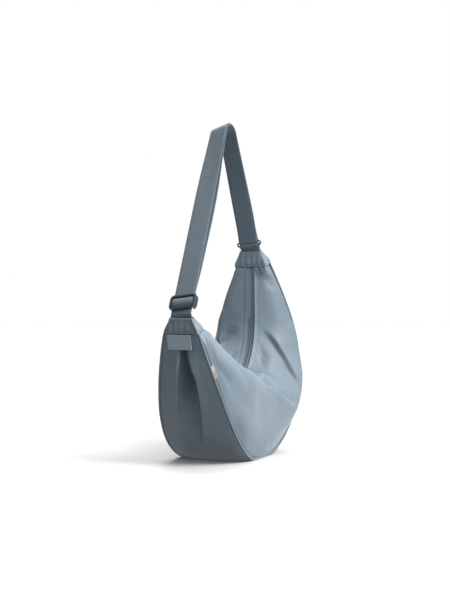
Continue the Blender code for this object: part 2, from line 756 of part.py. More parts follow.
class StrapPlane:
    """Plane of the strap: it holds both strap roots and leans back from upright."""

    def __init__(self):
        near = cap_middle(NEAR, NEAR.cap_top - AXIS_RISE)
        far = cap_middle(FAR, FAR.cap_top - AXIS_RISE)
        self.near_root = place(near.x, near.y, horn_shift(NEAR, NEAR.cap_top - AXIS_RISE))
        self.far_root = place(far.x, far.y)
        self.along = (self.far_root - self.near_root).normalized()
        self.span = (self.far_root - self.near_root).length
        body_up = Vector((-SIN_LEAN, 0, COS_LEAN))
        upright = (body_up - self.along * body_up.dot(self.along)).normalized()
        back = upright.cross(self.along)
        self.up = upright * math.cos(STRAP_LEAN) + back * math.sin(STRAP_LEAN)
        self.side = self.up.cross(self.along)
        sky = Vector((self.along.z, self.up.z)).normalized()
        self.sky = self.along * sky.x + self.up * sky.y
        self.level = self.along * sky.y - self.up * sky.x
        self.apex = Vector((APEX_ALONG, APEX_RISE))
        self.centre = self.apex - sky * APEX_RADIUS
        self.leg_start = Vector((0, 0))
        far_leg_end = Vector((self.span, RING_LOW_BAR + RING_SPACING))
        near_touch = self.touch(self.leg_start, -1)
        far_touch = self.touch(far_leg_end, 1)
        self.near_touch, self.far_touch, self.leg_end = near_touch, far_touch, far_leg_end
        first = math.atan2(near_touch.y - self.centre.y, near_touch.x - self.centre.x)
        last = math.atan2(far_touch.y - self.centre.y, far_touch.x - self.centre.x)
        if first < last:
            first += 2 * math.pi
        self.arc = (first, last)
        self.near_length = (near_touch - self.leg_start).length
        self.arc_length = (first - last) * APEX_RADIUS
        self.far_length = (far_leg_end - far_touch).length
        self.length = self.near_length + self.arc_length + self.far_length

    def touch(self, point, side):
        """Point where a line from outside touches the fold's circle, on one side."""
        offset = point - self.centre
        distance = offset.length
        spread = math.acos(APEX_RADIUS / distance)
        angle = math.atan2(offset.y, offset.x) - side * spread * -1
        return self.centre + Vector((math.cos(angle), math.sin(angle))) * APEX_RADIUS

    def base(self, travel):
        """Point, direction and outward normal of the strap's middle line at a travel from its root."""
        if travel <= self.near_length:
            forward = (self.near_touch - self.leg_start).normalized()
            return self.leg_start + forward * travel, forward, Vector((-forward.y, forward.x))
        if travel < self.near_length + self.arc_length:
            share = (travel - self.near_length) / self.arc_length
            angle = self.arc[0] + (self.arc[1] - self.arc[0]) * share
            normal = Vector((math.cos(angle), math.sin(angle)))
            return self.centre + normal * APEX_RADIUS, Vector((normal.y, -normal.x)), normal
        forward = (self.leg_end - self.far_touch).normalized()
        rest = travel - self.near_length - self.arc_length
        return self.far_touch + forward * rest, forward, Vector((-forward.y, forward.x))

    def world(self, spot, width=0.0, twist=0.0):
        """World position of a point of the plane at a width to its side, turned and rolled by a share."""
        turn = STRAP_TURN * twist
        across = self.side * math.cos(turn) + self.level * math.sin(turn)
        across = (across - self.sky * math.sin(STRAP_ROLL * twist)).normalized()
        return self.near_root + self.along * spot.x + self.up * spot.y + across * width

    def twist(self, travel):
        """Share of the webbing's turn and roll, none at the fittings and all of it at the fold."""
        rise_start = ADJUST_CENTRE + ADJUST_TRAVEL + 2 * SLIDE_HALF_LENGTH
        top = self.near_length + self.arc_length / 2
        if travel < top:
            return smooth((travel - rise_start) / (top - rise_start))
        return smooth((self.length - travel) / (self.length - top))


PLANE = StrapPlane()
WRAP_RADIUS = RING_STOCK + FIT_GAP + WEB_THICK / 2


def ribbon_row(spot, twist=0.0, shift=0.0):
    """Row of three points across the webbing at a point of the strap's plane."""
    return [PLANE.world(spot, shift + share * WEB_HALF, twist) for share in (-1, 0, 1)]


def spread_near_ring(travel):
    """Share by which the layers have opened to pass round the ring."""
    reach = 8 * RING_STOCK
    return smooth((travel - (PLANE.length - reach)) / reach)


def return_offset(travel):
    """Distance of the returning layer inside the strap's middle line."""
    slack_start = ADJUST_CENTRE + SLIDE_HALF_LENGTH
    if travel < PLANE.near_length:
        share = (travel - slack_start) / (PLANE.near_length - slack_start)
        swell = LAYER_SWELL * math.sin(math.pi * min(max(share, 0), 1)) ** 2
    else:
        swell = 0
    opened = (WRAP_RADIUS - LAYER_HALF) * spread_near_ring(travel)
    return LAYER_HALF + swell + opened


def return_shift(travel):
    """Sideways shift of the returning layer, none where it is held."""
    slack_start = ADJUST_CENTRE + SLIDE_HALF_LENGTH
    share = smooth((travel - slack_start) / (4 * SLIDE_HALF_LENGTH))
    release = smooth((PLANE.length - travel) / (4 * SLIDE_HALF_LENGTH))
    return -RETURN_SHIFT * share * release


def return_row(travel):
    """Row of the returning layer at a travel."""
    point, _, normal = PLANE.base(travel)
    spot = point - normal * return_offset(travel)
    return ribbon_row(spot, PLANE.twist(travel), return_shift(travel))


def travels(first, last, spacing):
    """Even travels between two marks, and finer ones over the fold."""
    fold_start = PLANE.near_length
    fold_end = PLANE.near_length + PLANE.arc_length
    marks = []
    for start, end, pitch in ((0, fold_start, spacing), (fold_start, fold_end, APEX_RADIUS / 2),
                              (fold_end, PLANE.length, spacing)):
        low, high = max(start, first), min(end, last)
        if high > low:
            count = max(1, round((high - low) / pitch))
            marks += [low + (high - low) * step / count for step in range(count)]
    return marks + [last]


def build_strap(webbing):
    """Main webbing from the near root over the fold, round the ring and back, and its slack run."""
    pitch = 2 * SLIDE_HALF_LENGTH
    start = FIT_GAP * 5
    grid = []
    opening = 8 * RING_STOCK
    outward_marks = travels(start, PLANE.length - opening, pitch)
    outward_marks += [PLANE.length - opening * share for share in (0.75, 0.5, 0.25, 0)]
    for travel in outward_marks:
        point, _, normal = PLANE.base(travel)
        offset = LAYER_HALF + (WRAP_RADIUS - LAYER_HALF) * spread_near_ring(travel)
        grid.append(ribbon_row(point + normal * offset, PLANE.twist(travel)))
    point, forward, normal = PLANE.base(PLANE.length)
    steps = 8
    for step in range(1, steps):
        angle = math.pi * step / steps
        grid.append(ribbon_row(point + (normal * math.cos(angle) + forward * math.sin(angle))
                               * WRAP_RADIUS))
    back_marks = [PLANE.length - opening * share for share in (0, 0.25, 0.5, 0.75)]
    back_marks += travels(RETURN_FIXED, PLANE.length - opening, pitch)[::-1]
    grid += [return_row(travel) for travel in back_marks]
    cloth_sheet("strap_webbing", grid, WEB_THICK, webbing, 0)
    run_start = ADJUST_CENTRE + SLIDE_HALF_LENGTH + FIT_GAP * 2
    marks = travels(run_start, RETURN_FIXED - FIT_GAP * 2, pitch)
    cloth_sheet("strap_slack_run", [return_row(travel) for travel in marks], WEB_THICK, webbing, 0)


def slide_matrix():
    """Placement of the three-bar slide: X across, Y up the strap, Z outwards."""
    point, forward, normal = PLANE.base(ADJUST_CENTRE)
    across = PLANE.side
    up = PLANE.along * forward.x + PLANE.up * forward.y
    out = PLANE.along * normal.x + PLANE.up * normal.y
    matrix = Matrix((across, up, out)).transposed().to_4x4()
    matrix.translation = PLANE.world(point)
    if matrix.determinant() < 0:
        matrix = matrix @ Matrix.Scale(-1, 4, Vector((1, 0, 0)))
    return matrix


def rounded_block(name, half_width, half_length, corner, low, high, material):
    """Block with round corners in plan, from a low to a high level."""
    ring = []
    for x_side, y_side, start in ((1, 1, 0), (-1, 1, 1), (-1, -1, 2), (1, -1, 3)):
        for step in range(5):
            angle = math.pi / 2 * (start + step / 4)
            ring.append(Vector((x_side * (half_width - corner) + corner * math.cos(angle),
                                y_side * (half_length - corner) + corner * math.sin(angle))))
    loops = [[Vector((spot.x, spot.y, level)) for spot in ring] for level in (low, high)]
    return lofted_solid(name, loops, material)


def box_form(name, half_width, half_length, low, high, material):
    """Plain box used as a hidden form."""
    ring = [(half_width, half_length), (-half_width, half_length),
            (-half_width, -half_length), (half_width, -half_length)]
    loops = [[Vector((x, y, level)) for x, y in ring] for level in (low, high)]
    form = lofted_solid(name, loops, material)
    form.hide_render = True
    form.display_type = "WIRE"
    return form


def build_slide(plastic, webbing):
    """Three-bar slide, the strap's sewn end on its middle bar and the strap's rise over that bar."""
    matrix = slide_matrix()
    bar_foot = LAYER_HALF + WEB_THICK / 2 + FIT_GAP
    head = bar_foot + SLIDE_BAR_THICK
    loop_radius = SLIDE_MIDDLE_RADIUS + FIT_GAP + WEB_THICK / 2
    bar_level = -LAYER_HALF - loop_radius
    foot = bar_level - SLIDE_MIDDLE_RADIUS - FIT_GAP
    frame = rounded_block("three_bar_slide", SLIDE_HALF_WIDTH, SLIDE_HALF_LENGTH, SLIDE_CORNER,
                          foot, head, plastic)
    overrun = SLIDE_HALF_LENGTH
    window = box_form("slide_window", SLIDE_WINDOW_HALF_WIDTH, SLIDE_WINDOW_HALF_LENGTH,
                      foot - overrun, head + overrun, plastic)
    channel = box_form("slide_channel", SLIDE_WINDOW_HALF_WIDTH, SLIDE_HALF_LENGTH + overrun,
                       foot - overrun, bar_foot, plastic)
    reach = (SLIDE_WINDOW_HALF_WIDTH + SLIDE_HALF_WIDTH) / 2
    bar = tube("slide_middle_bar", [Vector((-reach, 0, bar_level)), Vector((reach, 0, bar_level))],
               SLIDE_MIDDLE_RADIUS, plastic, resolution=3)
    bar.hide_render = True
    bar.display_type = "WIRE"
    bar_mesh = bpy.data.meshes.new_from_object(bar)
    bpy.data.objects.remove(bar)
    bar = add_object("slide_middle_bar", bar_mesh, plastic)
    bar.hide_render = True
    bar.display_type = "WIRE"
    round_edges = frame.modifiers.new("round_edges", "BEVEL")
    round_edges.width = SLIDE_EDGE
    round_edges.segments = 2
    round_edges.limit_method = "ANGLE"
    round_edges.angle_limit = math.radians(60)
    for form, operation in ((window, "DIFFERENCE"), (channel, "DIFFERENCE"), (bar, "UNION")):
        cut = frame.modifiers.new(form.name, "BOOLEAN")
        cut.operation = operation
        cut.object = form
    for item in (frame, window, channel, bar):
        item.matrix_world = matrix
    end_top = SLIDE_HALF_LENGTH
    tail_gap = WEB_THICK + FIT_GAP
    path = [Vector((end_top, -LAYER_HALF)), Vector((loop_radius, -LAYER_HALF))]
    steps = 8
    for step in range(steps + 1):
        angle = math.pi / 2 + math.pi * step / steps
        path.append(Vector((loop_radius * math.cos(angle), bar_level + loop_radius * math.sin(angle))))
    path.append(Vector((loop_radius * 1.5, bar_level - loop_radius)))
    path.append(Vector((end_top * 0.7, -LAYER_HALF - tail_gap * 1.3)))
    path.append(Vector((END_TAIL, -LAYER_HALF - tail_gap * 1.3)))
    slide_ribbon("strap_end_loop", path, matrix, webbing)
    low = LAYER_HALF + WEB_THICK + FIT_GAP
    reach = SLIDE_WINDOW_HALF_LENGTH - FIT_GAP - WEB_THICK / 2
    steps = 10
    path = []
    for step in range(steps + 1):
        share = 2 * step / steps - 1
        path.append(Vector((reach * share, low + BULGE_RISE * math.cos(math.pi / 2 * share) ** 0.8)))
    slide_ribbon("strap_over_bar", path, matrix, webbing)


def slide_ribbon(name, path, matrix, material):
    """Webbing along a path of (up the strap, outwards) points in the slide's own frame."""
    grid = []
    for spot in path:
        grid.append([matrix @ Vector((share * WEB_HALF, spot.x, spot.y)) for share in (-1, 0, 1)])
    cloth_sheet(name, grid, WEB_THICK, material, 0)


def build_near_root(webbing):
    """Webbing that comes up out of the near cap and meets the strap."""
    point, forward, normal = PLANE.base(0)
    end = point + normal * LAYER_HALF
    inside = cap_middle(NEAR, NEAR.cap_foot - LINING_CLOTH * 5)
    lip = cap_middle(NEAR, NEAR.cap_top + CLOTH)
    rim = cap_middle(NEAR, NEAR.cap_top - FIT_GAP)
    grid = []
    for spot in (inside, lip, rim):
        shift = horn_shift(NEAR, spot.y)
        grid.append([place(spot.x, spot.y, shift + share * WEB_HALF) for share in (-1, 0, 1)])
    grid.append(ribbon_row(end))
    cloth_sheet("near_root_webbing", grid, WEB_THICK, webbing, 0)


def build_far_loop(webbing):
    """Webbing that comes up out of the far cap, round the ring's lower bar and back into the cap."""
    upward = (PLANE.far_touch - PLANE.leg_end).normalized()
    outward = Vector((upward.y, -upward.x))
    root = Vector((PLANE.span, 0))
    bar = PLANE.leg_end - upward * RING_SPACING
    half_open = RING_STOCK + RING_PLAY + FIT_GAP + WEB_THICK / 2
    crown = RING_STOCK + FIT_GAP + WEB_THICK / 2
    side_rows = []
    for side in (1, -1):
        rows = []
        cap_shares = (1 - LOOP_BURIED / FAR.cap_length, 1)
        for share in cap_shares:
            depth = FAR.cap_foot - FAR.cap_length * share
            spot = cap_middle(FAR, depth)
            offset = side * LAYER_HALF
            rows.append([place(spot.x + offset, spot.y, width * WEB_HALF) for width in (-1, 0, 1)])
        rows.append(ribbon_row(root + outward * side * LAYER_HALF))
        rows.append(ribbon_row(bar + outward * side * half_open - upward * RING_STOCK))
        side_rows.append(rows)
    grid = side_rows[0]
    steps = 8
    for step in range(steps + 1):
        angle = math.pi * step / steps
        grid.append(ribbon_row(bar + outward * half_open * math.cos(angle)
                               + upward * crown * math.sin(angle)))
    grid += side_rows[1][::-1]
    cloth_sheet("far_webbing_loop", grid, WEB_THICK, webbing, 0)


def build_ring(plastic):
    """Rectangular ring between the strap's fold and the far webbing loop."""
    upward = (PLANE.far_touch - PLANE.leg_end).normalized()
    high = PLANE.leg_end
    corner = RING_SPACING / 2
    middle = high - upward * corner
    points = []
    for side in (1, -1):
        for step in range(7):
            angle = math.pi * step / 6
            level = corner * math.cos(angle) * side
            reach = side * (RING_HALF_WIDTH - RING_STOCK - corner + corner * math.sin(angle))
            points.append(PLANE.world(middle + upward * level, reach))
    tube("far_ring", points, RING_STOCK, plastic, cyclic=True, resolution=2)


def main():
    """Build every piece of the bag."""
    clear_scene()
    cloth = make_material("shell_cloth", CLOTH_BLUE, 0.55)
    lining = make_material("lining_cloth", LINING_BLUE, 0.7)
    webbing = make_material("webbing", WEB_BLUE, 0.6)
    tape = make_material("zip_tape", ZIP_BLUE, 0.75)
    metal = make_material("zip_metal", PLASTIC_BLUE, 0.35, 0.6)
    plastic = make_material("fitting_plastic", PLASTIC_BLUE, 0.3)
    label = make_material("tag_cloth", TAG_GREY, 0.8)
    build_shell(cloth)
    build_lining(lining)
    build_zip(tape, metal)
    build_slider(metal)
    build_pull(metal)
    build_cap("near_end_cap", NEAR, WEB_THICK / 2 + SLOT_CLEAR * 2, cloth)
    build_cap("far_end_cap", FAR, LAYER_HALF + WEB_THICK / 2 + SLOT_CLEAR * 2, cloth)
    build_patch("near_webbing_patch", 0, webbing)
    build_patch("far_webbing_patch", STATIONS - 1, webbing)
    build_tag(label)
    build_strap(webbing)
    build_slide(plastic, webbing)
    build_near_root(webbing)
    build_far_loop(webbing)
    build_ring(plastic)


main()
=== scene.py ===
"""Looks of a crescent shoulder bag: shell, lining, zip, caps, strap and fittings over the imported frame."""

import logging
import math
from dataclasses import dataclass, field
from enum import Enum
from typing import Iterable, Optional, Sequence, Union

import bmesh
import bpy
import numpy as np
from mathutils import Matrix, Vector, noise


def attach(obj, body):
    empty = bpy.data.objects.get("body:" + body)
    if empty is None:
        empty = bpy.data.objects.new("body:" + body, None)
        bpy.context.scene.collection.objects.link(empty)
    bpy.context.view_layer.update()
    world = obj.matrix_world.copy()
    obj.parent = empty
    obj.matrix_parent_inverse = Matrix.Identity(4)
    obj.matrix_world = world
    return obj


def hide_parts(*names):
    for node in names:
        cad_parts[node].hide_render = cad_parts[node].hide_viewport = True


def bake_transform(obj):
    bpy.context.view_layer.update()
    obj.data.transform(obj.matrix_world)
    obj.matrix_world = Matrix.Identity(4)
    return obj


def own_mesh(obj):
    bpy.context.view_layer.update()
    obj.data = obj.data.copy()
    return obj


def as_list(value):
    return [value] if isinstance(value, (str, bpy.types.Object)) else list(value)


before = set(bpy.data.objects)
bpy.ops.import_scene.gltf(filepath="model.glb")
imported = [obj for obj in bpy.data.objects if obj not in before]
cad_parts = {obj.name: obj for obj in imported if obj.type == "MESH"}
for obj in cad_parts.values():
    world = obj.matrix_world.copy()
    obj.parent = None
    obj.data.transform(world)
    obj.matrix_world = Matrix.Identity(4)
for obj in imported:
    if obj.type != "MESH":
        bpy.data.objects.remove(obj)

log = logging.getLogger("bag")

Colour = tuple[float, float, float]
Item = bpy.types.Object
Material = bpy.types.Material
Grid = np.ndarray
Number = Union["Wire", float]
Tint = Union["Wire", Sequence[float]]

CLOTH_MAP = "cloth"
TINY = 1e-9


class Side(Enum):
    """Face of the bag that a panel makes."""

    FRONT = -1
    BACK = 1

    @property
    def word(self) -> str:
        """Return the side's word in the names of pieces."""
        return self.name.lower()


class Body(Enum):
    """Moving body that a piece rides on."""

    BAG = "bag"
    SLIDER = "zip_slider"
    PULL = "zip_pull"
    STRAP = "strap"
    ADJUSTER = "adjuster"
    RING = "ring"


def linear(red: int, green: int, blue: int) -> Colour:
    """Turn screen values from 0 to 255 into a linear colour."""
    return tuple((channel / 255) ** 2.2 for channel in (red, green, blue))


def shade(colour: Colour, factor: float) -> tuple[float, float, float, float]:
    """Return a colour scaled by a factor, with full alpha."""
    return (colour[0] * factor, colour[1] * factor, colour[2] * factor, 1.0)


def smooth(value: float) -> float:
    """Ease a share from 0 to 1, level at both ends."""
    share = min(max(value, 0.0), 1.0)
    return share * share * (3 - 2 * share)


# Shader tools


class Wire:
    """A socket of a node tree, so that shader maths reads as Python expressions."""

    def __init__(self, paint: "Paint", socket: bpy.types.NodeSocket) -> None:
        """Hold a socket and the material that it belongs to."""
        self.paint = paint
        self.socket = socket

    def _math(self, operation: str, *values: Number) -> "Wire":
        """Add a Math node over the given values."""
        return self.paint.node("ShaderNodeMath", {"operation": operation}, dict(enumerate(values)))

    def __add__(self, other: Number) -> "Wire":
        """Add a value."""
        return self._math("ADD", self, other)

    def __radd__(self, other: float) -> "Wire":
        """Add this socket to a number."""
        return self._math("ADD", other, self)

    def __sub__(self, other: Number) -> "Wire":
        """Take a value away."""
        return self._math("SUBTRACT", self, other)

    def __rsub__(self, other: float) -> "Wire":
        """Take this socket away from a number."""
        return self._math("SUBTRACT", other, self)

    def __mul__(self, other: Number) -> "Wire":
        """Multiply by a value."""
        return self._math("MULTIPLY", self, other)

    def __rmul__(self, other: float) -> "Wire":
        """Multiply a number by this socket."""
        return self._math("MULTIPLY", other, self)

    def __pow__(self, other: Number) -> "Wire":
        """Raise to a power."""
        return self._math("POWER", self, other)

    def clamped(self) -> "Wire":
        """Keep the value from 0 to 1."""
        return self._math("MINIMUM", self._math("MAXIMUM", self, 0.0), 1.0)

    def waves(self) -> "Wire":
        """Turn a phase in whole turns into a wave from 0 to 1."""
        return self._math("SINE", self * math.tau) * 0.5 + 0.5


class Paint:
    """The node tree of one material, or of the world."""

    MIX_FIRST, MIX_SECOND, MIX_RESULT = 6, 7, 2

    def __init__(self, owner: Union[Material, bpy.types.World]) -> None:
        """Start with an empty node tree.

        Args:
            owner: Material or world that the tree belongs to.
        """
        owner.use_nodes = True
        self.owner = owner
        self.tree = owner.node_tree
        self.tree.nodes.clear()

    def node(self, kind: str, settings: Optional[dict] = None, inputs: Optional[dict] = None,
             output: Union[int, str] = 0) -> Wire:
        """Add a node: its settings first, then the values or links of its sockets.

        Args:
            kind: Type of the node.
            settings: Properties of the node.
            inputs: Values or wires by socket name or number.
            output: Output socket to hand back.

        Returns:
            The chosen output.
        """
        made = self.tree.nodes.new(kind)
        for name, value in (settings or {}).items():
            setattr(made, name, value)
        for key, value in (inputs or {}).items():
            socket = made.inputs[key]
            if isinstance(value, Wire):
                self.tree.links.new(value.socket, socket)
            else:
                socket.default_value = value
        return Wire(self, made.outputs[output] if made.outputs else None)

    def split(self, vector: Wire) -> list[Wire]:
        """Return the three parts of a vector."""
        made = self.node("ShaderNodeSeparateXYZ", None, {0: vector}).socket.node
        return [Wire(self, output) for output in made.outputs]

    def uv(self) -> list[Wire]:
        """Return the two cloth coordinates in metres, along and across."""
        return self.split(self.node("ShaderNodeUVMap", {"uv_map": CLOTH_MAP}))[:2]

    def noise(self, scale: float, detail: float = 2.0, stretch: Optional[Sequence[float]] = None) -> Wire:
        """Return noise in the object's own space, from 0 to 1.

        Args:
            scale: Noise features per metre.
            detail: Octaves of finer noise.
            stretch: Scale of each axis, to draw the noise out.

        Returns:
            The noise value.
        """
        spot = self.node("ShaderNodeTexCoord", output="Object")
        if stretch is not None:
            spot = self.node("ShaderNodeMapping", None, {"Vector": spot, "Scale": tuple(stretch)})
        return self.node("ShaderNodeTexNoise", None, {"Vector": spot, "Scale": scale, "Detail": detail})

    def mix(self, factor: Wire, first: Tint, second: Tint) -> Wire:
        """Mix two colours by a factor."""
        inputs = {"Factor": factor, self.MIX_FIRST: first, self.MIX_SECOND: second}
        return self.node("ShaderNodeMix", {"data_type": "RGBA"}, inputs, self.MIX_RESULT)

    def bump(self, height: Wire, strength: float, distance: float) -> Wire:
        """Turn a height over the surface into its normal."""
        inputs = {"Strength": strength, "Distance": distance, "Height": height}
        return self.node("ShaderNodeBump", None, inputs)

    def finish(self, sockets: dict) -> Material:
        """Close the tree with a Principled shader.

        Args:
            sockets: Values or wires of the shader's sockets by name.

        Returns:
            The finished material.
        """
        shader = self.node("ShaderNodeBsdfPrincipled", None, sockets)
        self.node("ShaderNodeOutputMaterial", None, {"Surface": shader})
        return self.owner


@dataclass(frozen=True)
class Finish:
    """Finish in shades of one colour."""

    name: str
    colour: Colour

    def start(self) -> Paint:
        """Start the finish's material."""
        return Paint(bpy.data.materials.new(self.name))

    def shades(self, paint: Paint, factor: Wire, low: float, high: float) -> Wire:
        """Mix a darker and a lighter shade of the colour by a factor."""
        return paint.mix(factor, shade(self.colour, low), shade(self.colour, high))


@dataclass(frozen=True)
class NylonFinish(Finish):
    """Smooth coated nylon with a satin sheen and a fine plain weave."""

    roughness: float = 0.52
    sheen: float = 0.25
    weave: float = 0.0009
    relief: float = 0.00012
    mottle: float = 0.10
    cloud_scale: float = 9.0
    grain_scale: float = 140.0
    crease_scale: float = 26.0
    crease_stretch: tuple[float, float, float] = (1.0, 1.0, 0.45)

    def make(self) -> Material:
        """Build the material."""
        paint = self.start()
        along, across = paint.uv()
        warp = (along * (1 / self.weave)).waves()
        weft = (across * (1 / self.weave)).waves()
        cloudy = paint.noise(self.cloud_scale, 3.0)
        fine = paint.noise(self.grain_scale)
        crease = paint.noise(self.crease_scale, 4.0, self.crease_stretch)
        tone = (cloudy * 0.6 + crease * 0.4 - 0.3) * 2.2
        height = warp * weft * 0.5 + fine * 0.8 + crease * 6.0
        return paint.finish({
            "Base Color": self.shades(paint, tone.clamped(), 1 - self.mottle, 1 + self.mottle),
            "Roughness": self.roughness + (fine - 0.5) * 0.16 + (cloudy - 0.5) * 0.10,
            "Normal": paint.bump(height, 0.55, self.relief),
            "Sheen Weight": self.sheen,
            "Sheen Roughness": 0.45,
            "Specular IOR Level": 0.42,
        })


@dataclass(frozen=True)
class WebbingFinish(Finish):
    """Flat nylon webbing with ribs across it and a firm woven edge."""

    rib: float = 0.0016
    half: float = 0.025
    roughness: float = 0.58
    cord_share: float = 0.8
    edge_power: float = 6.0
    relief: float = 0.00022
    cloud_scale: float = 14.0
    grain_scale: float = 220.0

    def make(self) -> Material:
        """Build the material."""
        paint = self.start()
        along, across = paint.uv()
        ribs = (along * (1 / self.rib)).waves()
        cords = (across * (1 / (self.rib * self.cord_share))).waves()
        edge = (across - self.half) * (1 / self.half)
        edge = (edge * edge) ** self.edge_power
        cloudy = paint.noise(self.cloud_scale, 3.0)
        fine = paint.noise(self.grain_scale)
        tone = (cloudy - 0.35) * 1.6 + (fine - 0.5) * 0.5
        base = self.shades(paint, tone.clamped(), 0.90, 1.10)
        height = ribs * 0.8 + cords * 0.4 + fine * 0.6
        return paint.finish({
            "Base Color": paint.mix((edge * 0.35).clamped(), base, shade(self.colour, 0.74)),
            "Roughness": self.roughness + (fine - 0.5) * 0.2,
            "Normal": paint.bump(height, 0.6, self.relief),
            "Sheen Weight": 0.2,
            "Sheen Roughness": 0.5,
            "Specular IOR Level": 0.35,
        })


@dataclass(frozen=True)
class TapeFinish(Finish):
    """Knitted zip tape."""

    stitch: float = 0.0013
    row_share: float = 1.4
    relief: float = 0.0002
    cloud_scale: float = 30.0

    def make(self) -> Material:
        """Build the material."""
        paint = self.start()
        along, across = paint.uv()
        knit = (along * (1 / self.stitch) + across * (0.5 / self.stitch)).waves()
        row = (across * (1 / (self.stitch * self.row_share))).waves()
        cloudy = paint.noise(self.cloud_scale)
        return paint.finish({
            "Base Color": self.shades(paint, (knit * 0.4 + cloudy * 0.6).clamped(), 0.85, 1.12),
            "Roughness": 0.7 + (cloudy - 0.5) * 0.2,
            "Normal": paint.bump(knit + row * 0.6, 0.7, self.relief),
            "Sheen Weight": 0.15,
            "Specular IOR Level": 0.25,
        })


@dataclass(frozen=True)
class MouldedFinish(Finish):
    """Moulded plastic or painted metal, with a faint grain and rubbed edges."""

    roughness: float
    metallic: float = 0.0
    grain_scale: float = 900.0
    smudge_scale: float = 60.0
    relief: float = 0.00005
    edge_start: float = 0.52

    def make(self) -> Material:
        """Build the material."""
        paint = self.start()
        fine = paint.noise(self.grain_scale)
        smudge = paint.noise(self.smudge_scale, 3.0)
        edge = paint.node("ShaderNodeNewGeometry", output="Pointiness")
        rubbed = ((edge - self.edge_start) * 9.0).clamped() * ((smudge - 0.4) * 4.0).clamped()
        base = self.shades(paint, smudge, 0.93, 1.07)
        return paint.finish({
            "Base Color": paint.mix(rubbed * 0.5, base, shade(self.colour, 1.5)),
            "Roughness": self.roughness + (smudge - 0.5) * 0.16 + rubbed * 0.1,
            "Metallic": self.metallic,
            "Normal": paint.bump(fine, 0.25, self.relief),
            "Coat Weight": 0.15,
            "Coat Roughness": 0.2,
        })


@dataclass(frozen=True)
class ThreadFinish(Finish):
    """Twisted sewing thread."""

    twist_scale: float = 900.0
    relief: float = 0.0001

    def make(self) -> Material:
        """Build the material."""
        paint = self.start()
        twist = paint.noise(self.twist_scale, 1.0)
        return paint.finish({
            "Base Color": self.shades(paint, twist, 0.85, 1.15),
            "Roughness": 0.6,
            "Normal": paint.bump(twist, 0.4, self.relief),
            "Sheen Weight": 0.3,
        })


@dataclass(frozen=True)
class TagFinish(Finish):
    """Woven loop tag, pale above with a small warm patch at its lower end."""

    warm: Colour
    threads: float = 1400.0
    patch_start: float = 0.0120
    patch_end: float = 0.0250
    patch_edge: float = 900.0
    relief: float = 0.0001

    def make(self) -> Material:
        """Build the material."""
        paint = self.start()
        along, across = paint.uv()
        weave = (across * self.threads).waves() * 0.5 + (along * self.threads).waves() * 0.5
        above = ((along - self.patch_start) * self.patch_edge).clamped()
        patch = above * ((self.patch_end - along) * self.patch_edge).clamped()
        base = self.shades(paint, weave, 0.9, 1.08)
        return paint.finish({
            "Base Color": paint.mix(patch * 0.85, base, shade(self.warm, 1.0)),
            "Roughness": 0.75,
            "Normal": paint.bump(weave, 0.4, self.relief),
            "Sheen Weight": 0.2,
        })


@dataclass(frozen=True)
class FloorFinish(Finish):
    """Plain pale paper floor."""

    bright: Colour
    grain_scale: float = 3.0

    def make(self) -> Material:
        """Build the material."""
        paint = self.start()
        base = paint.mix(paint.noise(self.grain_scale), shade(self.colour, 1.0), shade(self.bright, 1.0))
        return paint.finish({"Base Color": base, "Roughness": 0.9, "Specular IOR Level": 0.1})


@dataclass(frozen=True)
class Wardrobe:
    """Every finish of the bag, made once."""

    nylon: Material
    lining: Material
    webbing: Material
    patch: Material
    tape: Material
    coil: Material
    metal: Material
    plastic: Material
    thread: Material
    tag: Material

    @classmethod
    def make(cls) -> "Wardrobe":
        """Build every material."""
        return cls(
            nylon=NylonFinish("satin_nylon", linear(94, 108, 118)).make(),
            lining=NylonFinish("lining_cloth", linear(76, 88, 98), 0.7, 0.1).make(),
            webbing=WebbingFinish("nylon_webbing", linear(82, 97, 108)).make(),
            # Painted light: the patch webbing is painted much lighter than the strap's webbing, a painted
            # highlight for the light that falls on the patch's upturned face.
            patch=WebbingFinish("patch_webbing", linear(140, 155, 166), 0.0021, 0.028).make(),
            # Painted light: the zip tape and coil are painted lighter than their own colour, as painted fill
            # light for the shade they sit in along the mouth.
            tape=TapeFinish("zip_tape_knit", linear(120, 134, 145)).make(),
            coil=MouldedFinish("zip_coil_nylon", linear(118, 132, 143), 0.4).make(),
            metal=MouldedFinish("painted_zip_metal", linear(92, 106, 116), 0.32, 0.35).make(),
            plastic=MouldedFinish("moulded_acetal", linear(28, 38, 46), 0.34).make(),
            thread=ThreadFinish("sewing_thread", linear(112, 125, 135)).make(),
            tag=TagFinish("woven_tag", linear(138, 143, 147), linear(150, 96, 62)).make(),
        )


# Mesh tools


def unit(vectors: Grid) -> Grid:
    """Scale each vector of an array to length 1."""
    return vectors / np.maximum(np.linalg.norm(vectors, axis=-1, keepdims=True), TINY)


def grid_normals(grid: Grid) -> Grid:
    """Return the unit normals of a grid of points, square to its rows and columns."""
    return unit(np.cross(np.gradient(grid, axis=0), np.gradient(grid, axis=1)))


def grid_spans(grid: Grid, axis: int) -> Grid:
    """Return the distance travelled along each line of a grid, in metres."""
    steps = np.linalg.norm(np.diff(grid, axis=axis), axis=2)
    pad = [(0, 0), (0, 0)]
    pad[axis] = (1, 0)
    return np.pad(np.cumsum(steps, axis=axis), pad)


def travelled(path: Grid) -> Grid:
    """Return the distance travelled at each point of a path, in metres."""
    return np.concatenate([[0.0], np.cumsum(np.linalg.norm(np.diff(path, axis=0), axis=1))])


def spot_at(goal: float, travel: Grid, points: Grid) -> Grid:
    """Return what lies at a distance along a line, between its points."""
    return np.array([np.interp(goal, travel, column) for column in points.T])


def noise_field(grid: Grid, scale: float, seed: float) -> Grid:
    """Return smooth noise from -1 to 1 at each point of a grid.

    Args:
        grid: Points as rows, columns and xyz.
        scale: Noise features per metre.
        seed: Offset that gives another pattern.

    Returns:
        One value for each point.
    """
    shift = Vector((seed * 7.1, seed * 3.3, seed * 5.7))
    values = [noise.noise(Vector(point) * scale + shift) for point in grid.reshape(-1, 3)]
    return np.array(values).reshape(grid.shape[:2])


